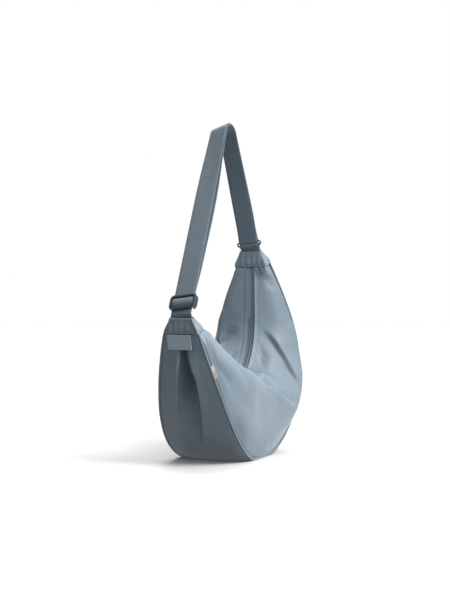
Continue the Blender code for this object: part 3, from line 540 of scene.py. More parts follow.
def signed_power(value: float, power: float) -> float:
    """Raise the size of a value to a power and keep its sign."""
    return math.copysign(abs(value) ** power, value)


def spline(knots: Sequence[Vector], parts: int) -> list[Vector]:
    """Draw a smooth curve through all knots.

    Args:
        knots: Points that the curve passes.
        parts: Steps from one knot to the next.

    Returns:
        Points from the first knot to the last.
    """
    ends = [2 * knots[0] - knots[1], *knots, 2 * knots[-1] - knots[-2]]
    line = []
    for a, b, c, d in zip(ends, ends[1:], ends[2:], ends[3:]):
        for step in range(parts):
            u = step / parts
            line.append(0.5 * (2 * b + (c - a) * u + (2 * a - 5 * b + 4 * c - d) * u**2
                               + (3 * b - a - 3 * c + d) * u**3))
    line.append(knots[-1].copy())
    return line


def link_object(name: str, data: bpy.types.ID) -> Item:
    """Put data into the scene as an object."""
    item = bpy.data.objects.new(name, data)
    bpy.context.collection.objects.link(item)
    return item


def add_mesh(name: str, points: Iterable, faces: Sequence, material: Material) -> Item:
    """Link a smooth mesh as an object with its material.

    Args:
        name: Name of the object.
        points: Vertices.
        faces: Faces as tuples of vertex numbers.
        material: Finish of the object.

    Returns:
        The new object.
    """
    mesh = bpy.data.meshes.new(name)
    mesh.from_pydata([tuple(point) for point in points], [], faces)
    mesh.shade_smooth()
    mesh.materials.append(material)
    return link_object(name, mesh)


def turn_outwards(item: Item) -> None:
    """Turn every face of a closed mesh outwards.

    Args:
        item: Object that holds the mesh.
    """
    body = bmesh.new()
    body.from_mesh(item.data)
    bmesh.ops.recalc_face_normals(body, faces=body.faces)
    body.to_mesh(item.data)
    body.free()
    item.data.shade_smooth()


def grid_faces(rows: int, columns: int, flip: bool, closed: bool = False) -> list[tuple[int, ...]]:
    """Return the quads of a grid.

    Args:
        rows: Number of rows.
        columns: Number of columns.
        flip: Turn the faces over.
        closed: Join the last column to the first.

    Returns:
        Faces as vertex numbers.
    """
    faces = []
    for i in range(rows - 1):
        for j in range(columns if closed else columns - 1):
            k = (j + 1) % columns
            face = (i * columns + j, (i + 1) * columns + j, (i + 1) * columns + k, i * columns + k)
            faces.append(face[::-1] if flip else face)
    return faces


def cloth_object(name: str, grid: Grid, material: Material, thickness: float, flip: bool = False) -> Item:
    """Make a sheet of cloth behind a grid, with its cloth coordinates and thickness.

    Args:
        name: Name of the object.
        grid: Points of the outer face as rows, columns and xyz.
        material: Finish of the cloth.
        thickness: Thickness of the cloth.
        flip: Turn the outer face over.

    Returns:
        The new object, with its thickness applied.
    """
    rows, columns = grid.shape[:2]
    item = add_mesh(name, grid.reshape(-1, 3), grid_faces(rows, columns, flip), material)
    set_cloth_coordinates(item.data, grid_spans(grid, 0), grid_spans(grid, 1))
    solid = item.modifiers.new("thickness", "SOLIDIFY")
    solid.thickness = thickness
    solid.offset = -1.0
    solid.use_rim = True
    apply_modifiers(item)
    return item


def set_cloth_coordinates(mesh: bpy.types.Mesh, along: Grid, across: Grid) -> None:
    """Write the cloth coordinates in metres as the mesh's UV map.

    Args:
        mesh: Mesh whose first vertices are the grid's points.
        along: Distance along the rows for each point.
        across: Distance across the columns for each point.
    """
    layer = mesh.uv_layers.new(name=CLOTH_MAP)
    flat = np.stack([along.ravel(), across.ravel()], axis=1)
    corners = np.array([loop.vertex_index for loop in mesh.loops])
    layer.data.foreach_set("uv", flat[corners].astype(np.float32).ravel())


def apply_modifiers(item: Item) -> None:
    """Replace an object's mesh by its evaluated one and drop the modifiers."""
    graph = bpy.context.evaluated_depsgraph_get()
    made = bpy.data.meshes.new_from_object(item.evaluated_get(graph))
    item.modifiers.clear()
    item.data = made


def sweep(name: str, path: Grid, across: Grid, normal: Grid, profile: Sequence[tuple[float, float]],
          material: Material, cyclic: bool = False) -> Item:
    """Sweep a closed profile along a path.

    Args:
        name: Name of the object.
        path: Points of the path.
        across: Direction of the profile's width at each point.
        normal: Direction of the profile's height at each point.
        profile: Points of the profile as width and height.
        material: Finish of the piece.
        cyclic: Join the end of the path to its start.

    Returns:
        The new object.
    """
    loops = np.array([[p + a * w + n * h for w, h in profile] for p, a, n in zip(path, across, normal)])
    rows, columns = loops.shape[:2]
    faces = grid_faces(rows, columns, False, closed=True)
    if cyclic:
        last = (rows - 1) * columns
        faces += [(last + j, j, (j + 1) % columns, last + (j + 1) % columns) for j in range(columns)]
    else:
        faces.append(tuple(range(columns)))
        faces.append(tuple(range(rows * columns - 1, (rows - 1) * columns - 1, -1)))
    item = add_mesh(name, loops.reshape(-1, 3), faces, material)
    turn_outwards(item)
    item.data.set_sharp_from_angle(angle=math.radians(50))
    widths = np.array([w for w, _ in profile])
    along = np.repeat(travelled(path)[:, None], columns, axis=1)
    wide = np.repeat((widths - widths.min())[None, :], rows, axis=0)
    set_cloth_coordinates(item.data, along, wide)
    return item


def path_frames(path: Grid, guide: Sequence[float]) -> tuple[Grid, Grid]:
    """Return two directions square to a path at each of its points.

    Args:
        path: Points of the path.
        guide: Direction that the first one stays close to.

    Returns:
        The first and the second direction at each point.
    """
    tangent = unit(np.gradient(path, axis=0))
    guide = np.array(guide, float)
    first = unit(guide - tangent * (tangent @ guide)[:, None])
    return first, np.cross(tangent, first)


def cord_tube(name: str, path: Grid, radius: float, material: Material, sides: int = 8,
              cyclic: bool = False, guide: Sequence[float] = (0.0, 1.0, 0.0)) -> Item:
    """Make a round tube along a path.

    Args:
        name: Name of the object.
        path: Points of the tube's middle.
        radius: Radius of the tube.
        material: Finish of the tube.
        sides: Faces round the tube.
        cyclic: Join the end of the path to its start.
        guide: Direction that the tube's first side stays close to.

    Returns:
        The new object.
    """
    first, second = path_frames(path, guide)
    if cyclic:
        closed = np.vstack([path[-1:], path, path[:1]])
        first, second = (part[1:-1] for part in path_frames(closed, guide))
    angles = [math.tau * step / sides for step in range(sides)]
    profile = [(math.cos(angle) * radius, math.sin(angle) * radius) for angle in angles]
    return sweep(name, path, first, second, profile, material, cyclic)


@dataclass(frozen=True)
class Stitch:
    """Thread and pitch of a row of stitches: each stitch is a short bow that dips into the cloth at its ends.

    Each section holds its place along the stitch's half, its girth and its lift, as shares of the radius.
    """

    pitch: float = 0.0030
    length: float = 0.0022
    radius: float = 0.00032
    sides: int = 5
    sections: tuple[tuple[float, float, float], ...] = (
        (-1.0, 0.25, -0.9),
        (-0.7, 0.9, 0.0),
        (0.0, 1.0, 0.35),
        (0.7, 0.9, 0.0),
        (1.0, 0.25, -0.9),
    )

    def row(self, name: str, path: Grid, normal: Grid, material: Material) -> Item:
        """Lay a row of stitches along a path.

        Args:
            name: Name of the object.
            path: Points of the seam line on the cloth.
            normal: Outward direction at each point, or one for all.
            material: Finish of the thread.

        Returns:
            One object with every stitch of the row.
        """
        travel = travelled(path)
        count = max(1, int(travel[-1] / self.pitch))
        normal = np.broadcast_to(normal, path.shape)
        points, faces = [], []
        for index in range(count):
            middle = (index + 0.5) * travel[-1] / count
            spot = spot_at(middle, travel, path)
            forward = unit(spot_at(middle + self.length / 2, travel, path) - spot)
            up = spot_at(middle, travel, normal)
            up = unit(up - forward * (forward @ up))
            faces += self.faces(len(points))
            points += self.points(spot, forward, up)
        return add_mesh(name, points, faces, material)

    def points(self, spot: Grid, forward: Grid, up: Grid) -> list[Grid]:
        """Return the points of one stitch.

        Args:
            spot: Middle of the stitch on the cloth.
            forward: Direction of the seam.
            up: Direction away from the cloth.

        Returns:
            The points, section by section.
        """
        right = np.cross(forward, up)
        points = []
        for along, girth, lift in self.sections:
            centre = spot + forward * (along * self.length / 2) + up * (lift * self.radius)
            for step in range(self.sides):
                angle = math.tau * step / self.sides
                points.append(centre + (right * math.cos(angle) + up * math.sin(angle)) * self.radius * girth)
        return points

    def faces(self, start: int) -> list[tuple[int, ...]]:
        """Return the faces of one stitch, whose points start at a number."""
        sides, last = self.sides, start + self.sides * (len(self.sections) - 1)
        faces = [(ring + j, ring + (j + 1) % sides, ring + sides + (j + 1) % sides, ring + sides + j)
                 for ring in range(start, last, sides) for j in range(sides)]
        return faces + [tuple(range(start, start + sides))[::-1], tuple(range(last, last + sides))]


def dress(piece: Item, body: Body, slot: str, *nodes: str) -> None:
    """Put a finished piece on its body and hide the nodes that it stands for."""
    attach(piece, body.value)
    settle(piece, slot, *nodes)


def settle(piece: Item, slot: str, *nodes: str) -> None:
    """Hide the nodes that a piece stands for, and log it."""
    if nodes:
        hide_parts(*nodes)
    log.info("%s: %d faces", piece.name, len(piece.data.polygons))


# Shape of the body


@dataclass(frozen=True)
class Horn:
    """Sizes of one horn of the crescent."""

    side: int
    inset: float
    cap_top: float
    cap_length: float
    back_shift: float
    zip_angle: float
    spread_power: float

    @property
    def cap_foot(self) -> float:
        """Depth at which the cap meets the panels."""
        return self.cap_top + self.cap_length

    @property
    def near(self) -> bool:
        """Tell whether this is the near horn."""
        return self.side < 0


@dataclass
class Station:
    """One cut through the body at a share of the way round."""

    share: float
    outer: Vector
    inward: Vector
    height: float
    travel: float
    gusset: float
    bulge: float
    rise: float
    roll: float
    shift: float


@dataclass
class Crescent:
    """Shape of the bag's body: P runs across and Q down in a frame that leans about Y.

    Each row of cut_shares is a knot of a panel's cut: its way in as shares of the cut's height, rise and
    roll, and its width as shares of the gusset's half, the bulge and the roll.
    """

    lean: float = math.radians(21.4)
    half_span: float = 0.237
    widest: float = 0.160
    depth: float = 0.4165
    power: float = 2.35
    press: float = 0.008
    tip_half: float = 0.038
    gusset_half: float = 0.086
    growth: float = 0.300
    crown: float = 0.007
    bulge: float = 0.014
    bulge_power: float = 0.7
    far_swell: float = 0.019
    far_swell_share: float = 0.61
    far_swell_spread: float = 0.13
    rise: float = 0.028
    rise_power: float = 0.45
    far_ridge: float = 0.35
    ridge_fade: tuple[float, float] = (0.58, 0.84)
    near_roll: float = 0.014
    near_roll_share: float = 0.32
    near_roll_spread: float = 0.12
    cloth: float = 0.002
    seam_gap: float = 0.0004
    zip_radius: float = 0.165
    zip_centre: float = 0.095
    mouth_half: float = 0.010
    shift_end: float = 0.15
    cut_shares: tuple[tuple[float, ...], ...] = (
        (0.33, 0.0, 0.0, 1.0, 1.0, 0.0),
        (0.75, 0.0, 0.0, 1.0, 0.75, 0.8),
        (1.0, 0.45, 0.7, 0.99, 0.0, 1.0),
        (1.0, 1.0, 1.0, 0.80, 0.0, 0.7),
        (1.0, 0.60, 0.3, 0.45, 0.0, 0.0),
    )
    near: Horn = Horn(-1, 0.036, 0.007, 0.031, 0.0065, math.radians(75), 0.95)
    far: Horn = Horn(1, 0.015, 0.0, 0.035, 0.0, math.radians(70), 1.1)
    outer_line: Grid = field(init=False)
    inner_line: Grid = field(init=False)
    outer_travel: Grid = field(init=False)
    inner_travel: Grid = field(init=False)
    frame_x: float = field(init=False)
    frame_z: float = field(init=False)

    def __post_init__(self) -> None:
        """Work out the dense outline, the zip line and the place of the frame."""
        self.outer_line = self._outline()
        self.inner_line = self._zip_line()
        self.outer_travel = travelled(self.outer_line)
        self.inner_travel = travelled(self.inner_line)
        heights = self.outer_line[:, 0] * math.sin(self.lean) - self.outer_line[:, 1] * math.cos(self.lean)
        low = self.outer_line[int(np.argmin(heights))]
        self.frame_x = -(low[0] * math.cos(self.lean) + low[1] * math.sin(self.lean))
        self.frame_z = low[1] * math.cos(self.lean) - low[0] * math.sin(self.lean) - self.press

    @property
    def length(self) -> float:
        """Length of the outline from cap to cap."""
        return self.outer_travel[-1]

    def outer_p(self, horn: Horn, depth: float) -> float:
        """Return P of the outline on a horn above the widest depth."""
        return horn.side * (self.half_span - horn.inset * ((self.widest - depth) / self.widest) ** 2)

    def arc_end(self, horn: Horn) -> float:
        """Return the depth at which the zip's arc passes into its straight stretch on a horn."""
        return self.zip_centre + self.zip_radius * math.cos(horn.zip_angle)

    def mouth_p(self, horn: Horn, depth: float) -> float:
        """Return P of the straight stretch of the zip on a horn."""
        across = (self.arc_end(horn) - depth) / math.tan(horn.zip_angle)
        return horn.side * (self.zip_radius * math.sin(horn.zip_angle) + across)

    def _outline(self, steps: int = 160) -> Grid:
        """Draw the dense outer outline from the near cap's foot to the far cap's foot.

        Args:
            steps: Points on each horn and on the curve below.

        Returns:
            Points as P and Q.
        """
        points = []
        for step in range(steps):
            depth = self.near.cap_foot + (self.widest - self.near.cap_foot) * step / steps
            points.append((self.outer_p(self.near, depth), depth))
        for step in range(steps + 1):
            angle = math.pi * step / steps
            p = self.half_span * signed_power(-math.cos(angle), 2 / self.power)
            points.append((p, self.widest + (self.depth - self.widest) * math.sin(angle) ** (2 / self.power)))
        for step in range(1, steps + 1):
            depth = self.widest + (self.far.cap_foot - self.widest) * step / steps
            points.append((self.outer_p(self.far, depth), depth))
        return np.array(points)

    def _zip_line(self, steps: int = 120) -> Grid:
        """Draw the dense zip line from the near cap's foot to the far cap's foot.

        Args:
            steps: Points on each straight stretch and on the arc.

        Returns:
            Points as P and Q.
        """
        near_end, far_end = self.arc_end(self.near), self.arc_end(self.far)
        points = []
        for step in range(steps):
            depth = self.near.cap_foot + (near_end - self.near.cap_foot) * step / steps
            points.append((self.mouth_p(self.near, depth), depth))
        for step in range(steps + 1):
            angle = -self.near.zip_angle + (self.near.zip_angle + self.far.zip_angle) * step / steps
            points.append(self.zip_at(angle))
        for step in range(1, steps + 1):
            depth = far_end + (self.far.cap_foot - far_end) * step / steps
            points.append((self.mouth_p(self.far, depth), depth))
        return np.array(points)

    def zip_at(self, angle: float, rise: float = 0.0) -> tuple[float, float]:
        """Return the point of the zip's arc at an angle from straight down, raised towards its centre."""
        radius = self.zip_radius - rise
        return (radius * math.sin(angle), self.zip_centre + radius * math.cos(angle))

    def place(self, p: float, q: float, y: float = 0.0) -> Vector:
        """Return the world position of a point of the body's frame."""
        cos, sin = math.cos(self.lean), math.sin(self.lean)
        return Vector((self.frame_x + p * cos + q * sin, y, self.frame_z + p * sin - q * cos))

    def back_shift(self, share: float) -> float:
        """Return how far a cut is moved towards the back."""
        return self.near.back_shift * max(0.0, 1 - share / self.shift_end) ** 2

    def station(self, share: float) -> Station:
        """Cut the body at a share of the way round, from the near cap to the far cap.

        Args:
            share: 0 at the near cap's foot and 1 at the far cap's.

        Returns:
            The sizes of the cut.
        """
        goal = share * self.length
        outer = Vector(spot_at(goal, self.outer_travel, self.outer_line))
        inner = Vector(spot_at(share * self.inner_travel[-1], self.inner_travel, self.inner_line))
        horn = self.near if share < 0.5 else self.far
        growth = min(1.0, max(0.0, outer.y - horn.cap_foot) / self.growth)
        spread = math.sin(math.pi / 2 * growth) ** horn.spread_power
        swell = max(math.sin(math.pi * share), 0.0)
        far = math.exp(-(((share - self.far_swell_share) / self.far_swell_spread) ** 2))
        fade = smooth((share - self.ridge_fade[0]) / (self.ridge_fade[1] - self.ridge_fade[0]))
        return Station(
            share=share,
            outer=outer,
            inward=(inner - outer).normalized(),
            height=(inner - outer).length,
            travel=goal,
            gusset=self.tip_half + (self.gusset_half - self.tip_half) * spread,
            bulge=self.bulge * swell**self.bulge_power + self.far_swell * far,
            rise=self.rise * swell**self.rise_power * (1 - (1 - self.far_ridge) * fade),
            roll=self.near_roll * math.exp(-(((share - self.near_roll_share) / self.near_roll_spread) ** 2)),
            shift=self.back_shift(share),
        )

    def world(self, cut: Station, inward: float, width: float) -> Vector:
        """Return the world position at a distance in from the outline and a width from the middle."""
        spot = cut.outer + cut.inward * inward
        return self.place(spot.x, spot.y, width + cut.shift)

    def panel_cut(self, cut: Station, parts: int) -> list[Vector]:
        """Draw one panel's cut from the seam over the ridge to the zip.

        Args:
            cut: Station to cut at.
            parts: Steps from one knot to the next.

        Returns:
            Points as ways in and widths.
        """
        knots = [Vector((self.cloth + self.seam_gap, cut.gusset))]
        for height, rise, roll, half, bulge, wide_roll in self.cut_shares:
            inward = height * cut.height + rise * cut.rise + roll * cut.roll
            knots.append(Vector((inward, half * cut.gusset + bulge * cut.bulge + wide_roll * cut.roll)))
        return spline([*knots, Vector((cut.height, self.mouth_half))], parts)


class Relief(Enum):
    """Kind of shape that a fold gives the cloth."""

    ROLL = "soft on both sides"
    CREASE = "sharp line with soft flanks"
    LAP = "bulges over the line towards the seam and tucks in towards the zip"


@dataclass(frozen=True)
class Fold:
    """A fold over a panel, drawn from place to place in shares of the way round and over the panel."""

    relief: Relief
    path: tuple[tuple[float, float], ...]
    width: float
    depth: float
    taper: float = 0.25
    edge: float = 0.0035
    blur: float = 0.005
    parts: int = 4
    girth_guess: float = 0.2
    least: float = 0.08
    tuck_depth: float = 0.8
    tuck_width: float = 1.2

    def lift(self, along: Grid, across: Grid, length: float, girth: Grid) -> Grid:
        """Return how far the fold moves each point of the panel outwards.

        Args:
            along: Share of the way round for each point.
            across: Share of the way over the panel for each point.
            length: Length of the panel, in metres.
            girth: Girth of the panel at each point, in metres.

        Returns:
            The movement of each point, outwards where positive.
        """
        x, y = along * length, across * girth
        knots = [(a * length, b) for a, b in spline([Vector(knot) for knot in self.path], self.parts)]
        steps = [abs(q[0] - p[0]) + abs(q[1] - p[1]) * self.girth_guess for p, q in zip(knots, knots[1:])]
        reaches, places, turns = [], [], []
        for index, ((x0, b0), (x1, b1)) in enumerate(zip(knots, knots[1:])):
            y0, y1 = b0 * girth, b1 * girth
            span = np.maximum((x1 - x0) ** 2 + (y1 - y0) ** 2, TINY * TINY)
            u = np.clip(((x - x0) * (x1 - x0) + (y - y0) * (y1 - y0)) / span, 0, 1)
            reaches.append(np.hypot(x - x0 - u * (x1 - x0), y - y0 - u * (y1 - y0)))
            places.append((sum(steps[:index]) + u * steps[index]) / sum(steps))
            turns.append(((y1 - y0) * (x - x0) - (x1 - x0) * (y - y0)) / np.sqrt(span))
        gap = np.min(reaches, axis=0)
        weight = np.exp(-(np.array(reaches) - gap) / self.blur)
        weight /= weight.sum(axis=0)
        where = (weight * places).sum(axis=0)
        signed = (weight * turns).sum(axis=0)
        ends = np.clip(np.minimum(where, 1 - where) / self.taper, 0, 1)
        ease = ends * ends * (3 - 2 * ends)
        return self.depth * self.profile(gap, signed) * (self.least + (1 - self.least) * ease)

    def profile(self, gap: Grid, signed: Grid) -> Grid:
        """Return the fold's height as a share of its depth.

        Args:
            gap: Distance from the fold's line.
            signed: The same distance, positive towards the seam.

        Returns:
            The share at each point.
        """
        if self.relief is Relief.ROLL:
            return np.exp(-((gap / self.width) ** 2))
        if self.relief is Relief.CREASE:
            return np.exp(-(np.sqrt(gap**2 + self.edge**2) - self.edge) / self.width)
        side = 0.5 + 0.5 * np.tanh(signed / self.edge)
        over = np.exp(-np.maximum(signed, 0) / self.width)
        tuck = np.exp(-np.maximum(-signed, 0) / (self.tuck_width * self.width))
        return side * over - self.tuck_depth * (1 - side) * tuck


@dataclass(frozen=True)
class Ripple:
    """Unevenness of soft cloth, as smooth noise with its own pattern."""

    scale: float
    height: float
    seed: float

    def over(self, grid: Grid, seed: float = 0.0) -> Grid:
        """Return the height at each point of a grid."""
        return noise_field(grid, self.scale, seed + self.seed) * self.height


@dataclass(frozen=True)
class Pleat:
    """Pleat at each end of the gusset: a pocket under the patch that closes lower down.

    Each row holds the travel from the cap, the widths of the back and front edge and of the deepest line
    from the gusset's middle, and the depth.
    """

    rows: tuple[tuple[float, float, float, float, float], ...] = (
        (0.006, 0.006, -0.006, 0.000, 0.000),
        (0.020, 0.006, -0.008, -0.001, 0.028),
        (0.031, 0.007, -0.010, -0.002, 0.046),
        (0.062, 0.011, -0.016, -0.004, 0.068),
        (0.094, 0.017, -0.0215, -0.006, 0.076),
        (0.130, 0.025, -0.0245, -0.012, 0.074),
        (0.156, 0.032, -0.0255, -0.015, 0.066),
        (0.187, 0.038, -0.0215, -0.015, 0.052),
        (0.215, 0.040, -0.0145, -0.010, 0.033),
        (0.240, 0.040, -0.008, -0.005, 0.014),
        (0.262, 0.040, -0.004, -0.002, 0.000),
    )
    back_power: float = 1.5
    front_power: float = 2.6
    roll: float = 0.0075
    roll_width: float = 0.013
    roll_start: float = 0.034
    roll_ease: float = 0.026
    roll_depth: float = 0.03
    roll_edge: float = 0.002

    def groove(self, travel: float, width: float, margin: float) -> float:
        """Return how far the pleat draws the cloth inwards at a place.

        Args:
            travel: Travel from the cap.
            width: Width from the gusset's middle, positive towards the back.
            margin: Distance by which the pocket is widened, for the lining.

        Returns:
            The depth there, negative where the cloth rolls outwards beside the pocket.
        """
        places, *columns = np.array(self.rows).T
        back, front, low, depth = (float(np.interp(travel, places, column)) for column in columns)
        if depth <= 0:
            return 0.0
        edge, power = (back + margin, self.back_power) if width > low else (front - margin, self.front_power)
        share = abs((width - low) / (edge - low))
        pocket = depth * (1 - min(share, 1.0) ** power)
        strength = smooth((travel - self.roll_start) / self.roll_ease) * min(depth / self.roll_depth, 1.0)
        beside = max(abs(width - low) - abs(edge - low), 0.0)
        rolled = 1 - math.exp(-beside / self.roll_edge)
        return pocket - strength * self.roll * rolled * math.exp(-beside / self.roll_width)


FRONT_FOLDS = (
    Fold(Relief.LAP, ((0.02, 0.50), (0.07, 0.52), (0.12, 0.56), (0.18, 0.62), (0.25, 0.67), (0.32, 0.68),
                      (0.40, 0.67), (0.46, 0.63), (0.51, 0.55), (0.56, 0.41), (0.605, 0.25)),
         0.030, 0.0085, 0.16, 0.0045),
    Fold(Relief.LAP, ((0.640, 0.28), (0.654, 0.35), (0.671, 0.423), (0.683, 0.484), (0.704, 0.566),
                      (0.721, 0.638), (0.742, 0.71), (0.758, 0.774), (0.775, 0.87)),
         0.024, 0.0078, 0.30, 0.0070),
    Fold(Relief.ROLL, ((-0.16, 0.32), (0.0, 0.32), (0.05, 0.33), (0.10, 0.35), (0.16, 0.39),
                       (0.24, 0.44), (0.34, 0.50)),
         0.026, 0.0105, 0.40),
    Fold(Relief.CREASE, ((0.705, 0.97), (0.645, 0.84), (0.595, 0.74), (0.57, 0.66)), 0.009, -0.0017),
    Fold(Relief.CREASE, ((0.675, 0.98), (0.61, 0.90), (0.545, 0.82)), 0.010, -0.0017),
    Fold(Relief.CREASE, ((0.73, 0.95), (0.69, 0.88), (0.665, 0.80)), 0.009, -0.0015),
    Fold(Relief.CREASE, ((0.53, 0.62), (0.565, 0.50), (0.59, 0.38), (0.61, 0.28)), 0.008, -0.0022),
    Fold(Relief.CREASE, ((0.07, 0.12), (0.11, 0.20), (0.16, 0.25)), 0.006, -0.0022),
    Fold(Relief.ROLL, ((0.10, 0.30), (0.20, 0.38), (0.32, 0.46), (0.42, 0.50)), 0.026, -0.0045),
    Fold(Relief.ROLL, ((0.16, 0.14), (0.28, 0.20), (0.42, 0.24), (0.55, 0.20)), 0.024, 0.0035),
    Fold(Relief.CREASE, ((0.995, 0.60), (0.965, 0.56), (0.92, 0.52)), 0.009, -0.0018),
    Fold(Relief.CREASE, ((0.005, 0.62), (0.03, 0.60), (0.06, 0.56)), 0.005, -0.0028),
)

BACK_FOLDS = (
    Fold(Relief.LAP, ((0.04, 0.50), (0.12, 0.56), (0.20, 0.62), (0.30, 0.64), (0.40, 0.60), (0.50, 0.48),
                      (0.58, 0.32)),
         0.030, 0.0075, 0.2, 0.005),
    Fold(Relief.ROLL, ((0.78, 0.84), (0.70, 0.72), (0.66, 0.58), (0.65, 0.40)), 0.019, -0.010, 0.3),
    Fold(Relief.ROLL, ((0.84, 0.56), (0.76, 0.50), (0.72, 0.34)), 0.022, 0.005, 0.3),
    Fold(Relief.CREASE, ((0.68, 0.97), (0.62, 0.86), (0.57, 0.74)), 0.007, -0.0040),
    Fold(Relief.CREASE, ((0.40, 0.97), (0.45, 0.84), (0.52, 0.72)), 0.007, -0.0036),
    Fold(Relief.ROLL, ((0.14, 0.26), (0.28, 0.34), (0.42, 0.36), (0.54, 0.28)), 0.026, -0.0045),
    Fold(Relief.CREASE, ((0.08, 0.10), (0.13, 0.20), (0.19, 0.26)), 0.007, -0.0024),
)


@dataclass
class ShellSkin:
    """Outer cloth of the bag: two panels, the gusset with its pleats and the welts on the seams."""

    shape: Crescent
    wardrobe: Wardrobe
    rounds: int = 240
    parts: int = 13
    columns: int = 92
    floor: float = 0.0006
    pleat: Pleat = Pleat()
    welt_radius: float = 0.0022
    welt_slope: float = 0.9
    sag: Ripple = Ripple(13.0, 0.0026, 0.0)
    ruck: Ripple = Ripple(36.0, 0.0008, 3.0)
    pucker: Ripple = Ripple(95.0, 0.0008, 5.0)
    stray: Ripple = Ripple(30.0, 3.0, 0.0)
    edge_hold: float = 0.026
    edge_power: float = 0.8
    end_hold: float = 0.030
    seam_reach: float = 0.010
    mouth_reach: float = 0.008
    mouth_pucker: float = 0.8
    seam_dip: float = 0.0024
    seam_dip_place: float = 0.0046
    seam_dip_width: float = 0.0022
    mouth_hem: float = 0.0013
    mouth_hem_width: float = 0.0028
    stitch_margin: float = 0.0100
    stitch_dip: float = 0.0007
    stitch_dip_width: float = 0.0011
    gather: float = 0.0010
    gather_reach: float = 0.022
    gather_pitch: float = 0.0125
    gather_hold: float = 0.008
    flat_pull: float = 0.80
    flat_start: float = 0.50
    flat_ease: float = 0.14
    flat_end: float = 0.05
    gusset_crowding: float = 1.45
    gusset_sag: Ripple = Ripple(15.0, 0.0022, 21.0)
    gusset_ruck: Ripple = Ripple(40.0, 0.0008, 24.0)
    gusset_pucker: Ripple = Ripple(95.0, 0.0008, 27.0)
    gusset_hold: float = 0.02
    gusset_gather: float = 0.0005
    gusset_gather_reach: float = 0.02
    gusset_gather_pitch: float = 0.012
    crown_start: float = 0.036
    pleat_share: float = 0.62
    pleat_edge: float = 0.22
    pleat_margin: float = 0.8
    curl: float = 0.0020
    curl_width: float = 0.009
    tuck: float = 0.0016
    lining_thick: float = 0.0008
    panel_inset: float = 0.0048
    gusset_inset: float = 0.0042
    lining_near: int = 17
    lining_far: int = 10
    lining_panel_edge: int = 7
    lining_gusset_edge: int = 12

    def panel_grid(self, side: Side, inset: float = 0.0) -> Grid:
        """Return the fine grid of a panel's outer face, with its folds and puckers.

        Args:
            side: Front or back.
            inset: Distance that the face is moved inwards, for the lining.

        Returns:
            Points as stations, places over the cut and xyz.
        """
        rows = []
        for index in range(self.rounds + 1):
            cut = self.shape.station(index / self.rounds)
            line = self.shape.panel_cut(cut, self.parts)
            if side is Side.FRONT:
                self.stretch_flat(cut.share, line)
            rows.append([tuple(self.shape.world(cut, point.x, side.value * point.y)) for point in line])
        grid = np.array(rows)
        along = np.linspace(0, 1, grid.shape[0])[:, None] * np.ones(grid.shape[1])[None, :]
        spans = grid_spans(grid, 1)
        girth = np.broadcast_to(spans[:, -1:], spans.shape)
        length = self.shape.length
        lift = np.zeros(grid.shape[:2])
        for fold in FRONT_FOLDS if side is Side.FRONT else BACK_FOLDS:
            lift += fold.lift(along, spans / girth, length, girth)
        seed = 1.0 if side is Side.FRONT else 9.0
        soft = self.sag.over(grid, seed) + self.ruck.over(grid, seed)
        ends = np.minimum(along, 1 - along) * length
        from_mouth = girth - spans
        edge = np.minimum(spans, from_mouth)
        hold = np.clip(edge / self.edge_hold, 0, 1) ** self.edge_power
        lift = (lift + soft) * hold * np.clip(ends / self.end_hold, 0, 1)
        near_mouth = np.exp(-from_mouth / self.mouth_reach) * self.mouth_pucker
        near_edges = np.exp(-spans / self.seam_reach) + near_mouth
        lift += self.pucker.over(grid, seed) * near_edges
        lift -= self.seam_dip * np.exp(-(((spans - self.seam_dip_place) / self.seam_dip_width) ** 2))
        lift += self.mouth_hem * np.exp(-((from_mouth / self.mouth_hem_width) ** 2))
        lift -= self.stitch_dip * np.exp(-(((from_mouth - self.stitch_margin) / self.stitch_dip_width) ** 2))
        phase = spans * math.tau / self.gather_pitch + self.stray.over(grid, seed)
        gather = np.exp(-ends / self.gather_reach) * np.sin(phase)
        lift += gather * self.gather * np.clip(edge / self.gather_hold, 0, 1)
        grid = grid + self.outward(grid, side) * (lift - inset)[:, :, None]
        grid[:, :, 2] = np.maximum(grid[:, :, 2], self.floor + self.shape.cloth)
        return grid

    @staticmethod
    def outward(grid: Grid, side: Side) -> Grid:
        """Return the outward direction at each point of a panel."""
        return grid_normals(grid) * side.value * -1

    def stretch_flat(self, share: float, line: list[Vector]) -> None:
        """Pull the far horn's front flat between its swell and the zip.

        Args:
            share: Share of the way round the bag.
            line: Points of the cut, which are moved.
        """
        pull = self.flat_pull * smooth((share - self.flat_start) / self.flat_ease)
        pull *= smooth((1 - share) / self.flat_end)
        start = self.parts
        first, last = line[start].copy(), line[-1].copy()
        for index in range(start, len(line)):
            straight = first.lerp(last, (index - start) / (len(line) - 1 - start))
            line[index] = line[index].lerp(straight, pull)

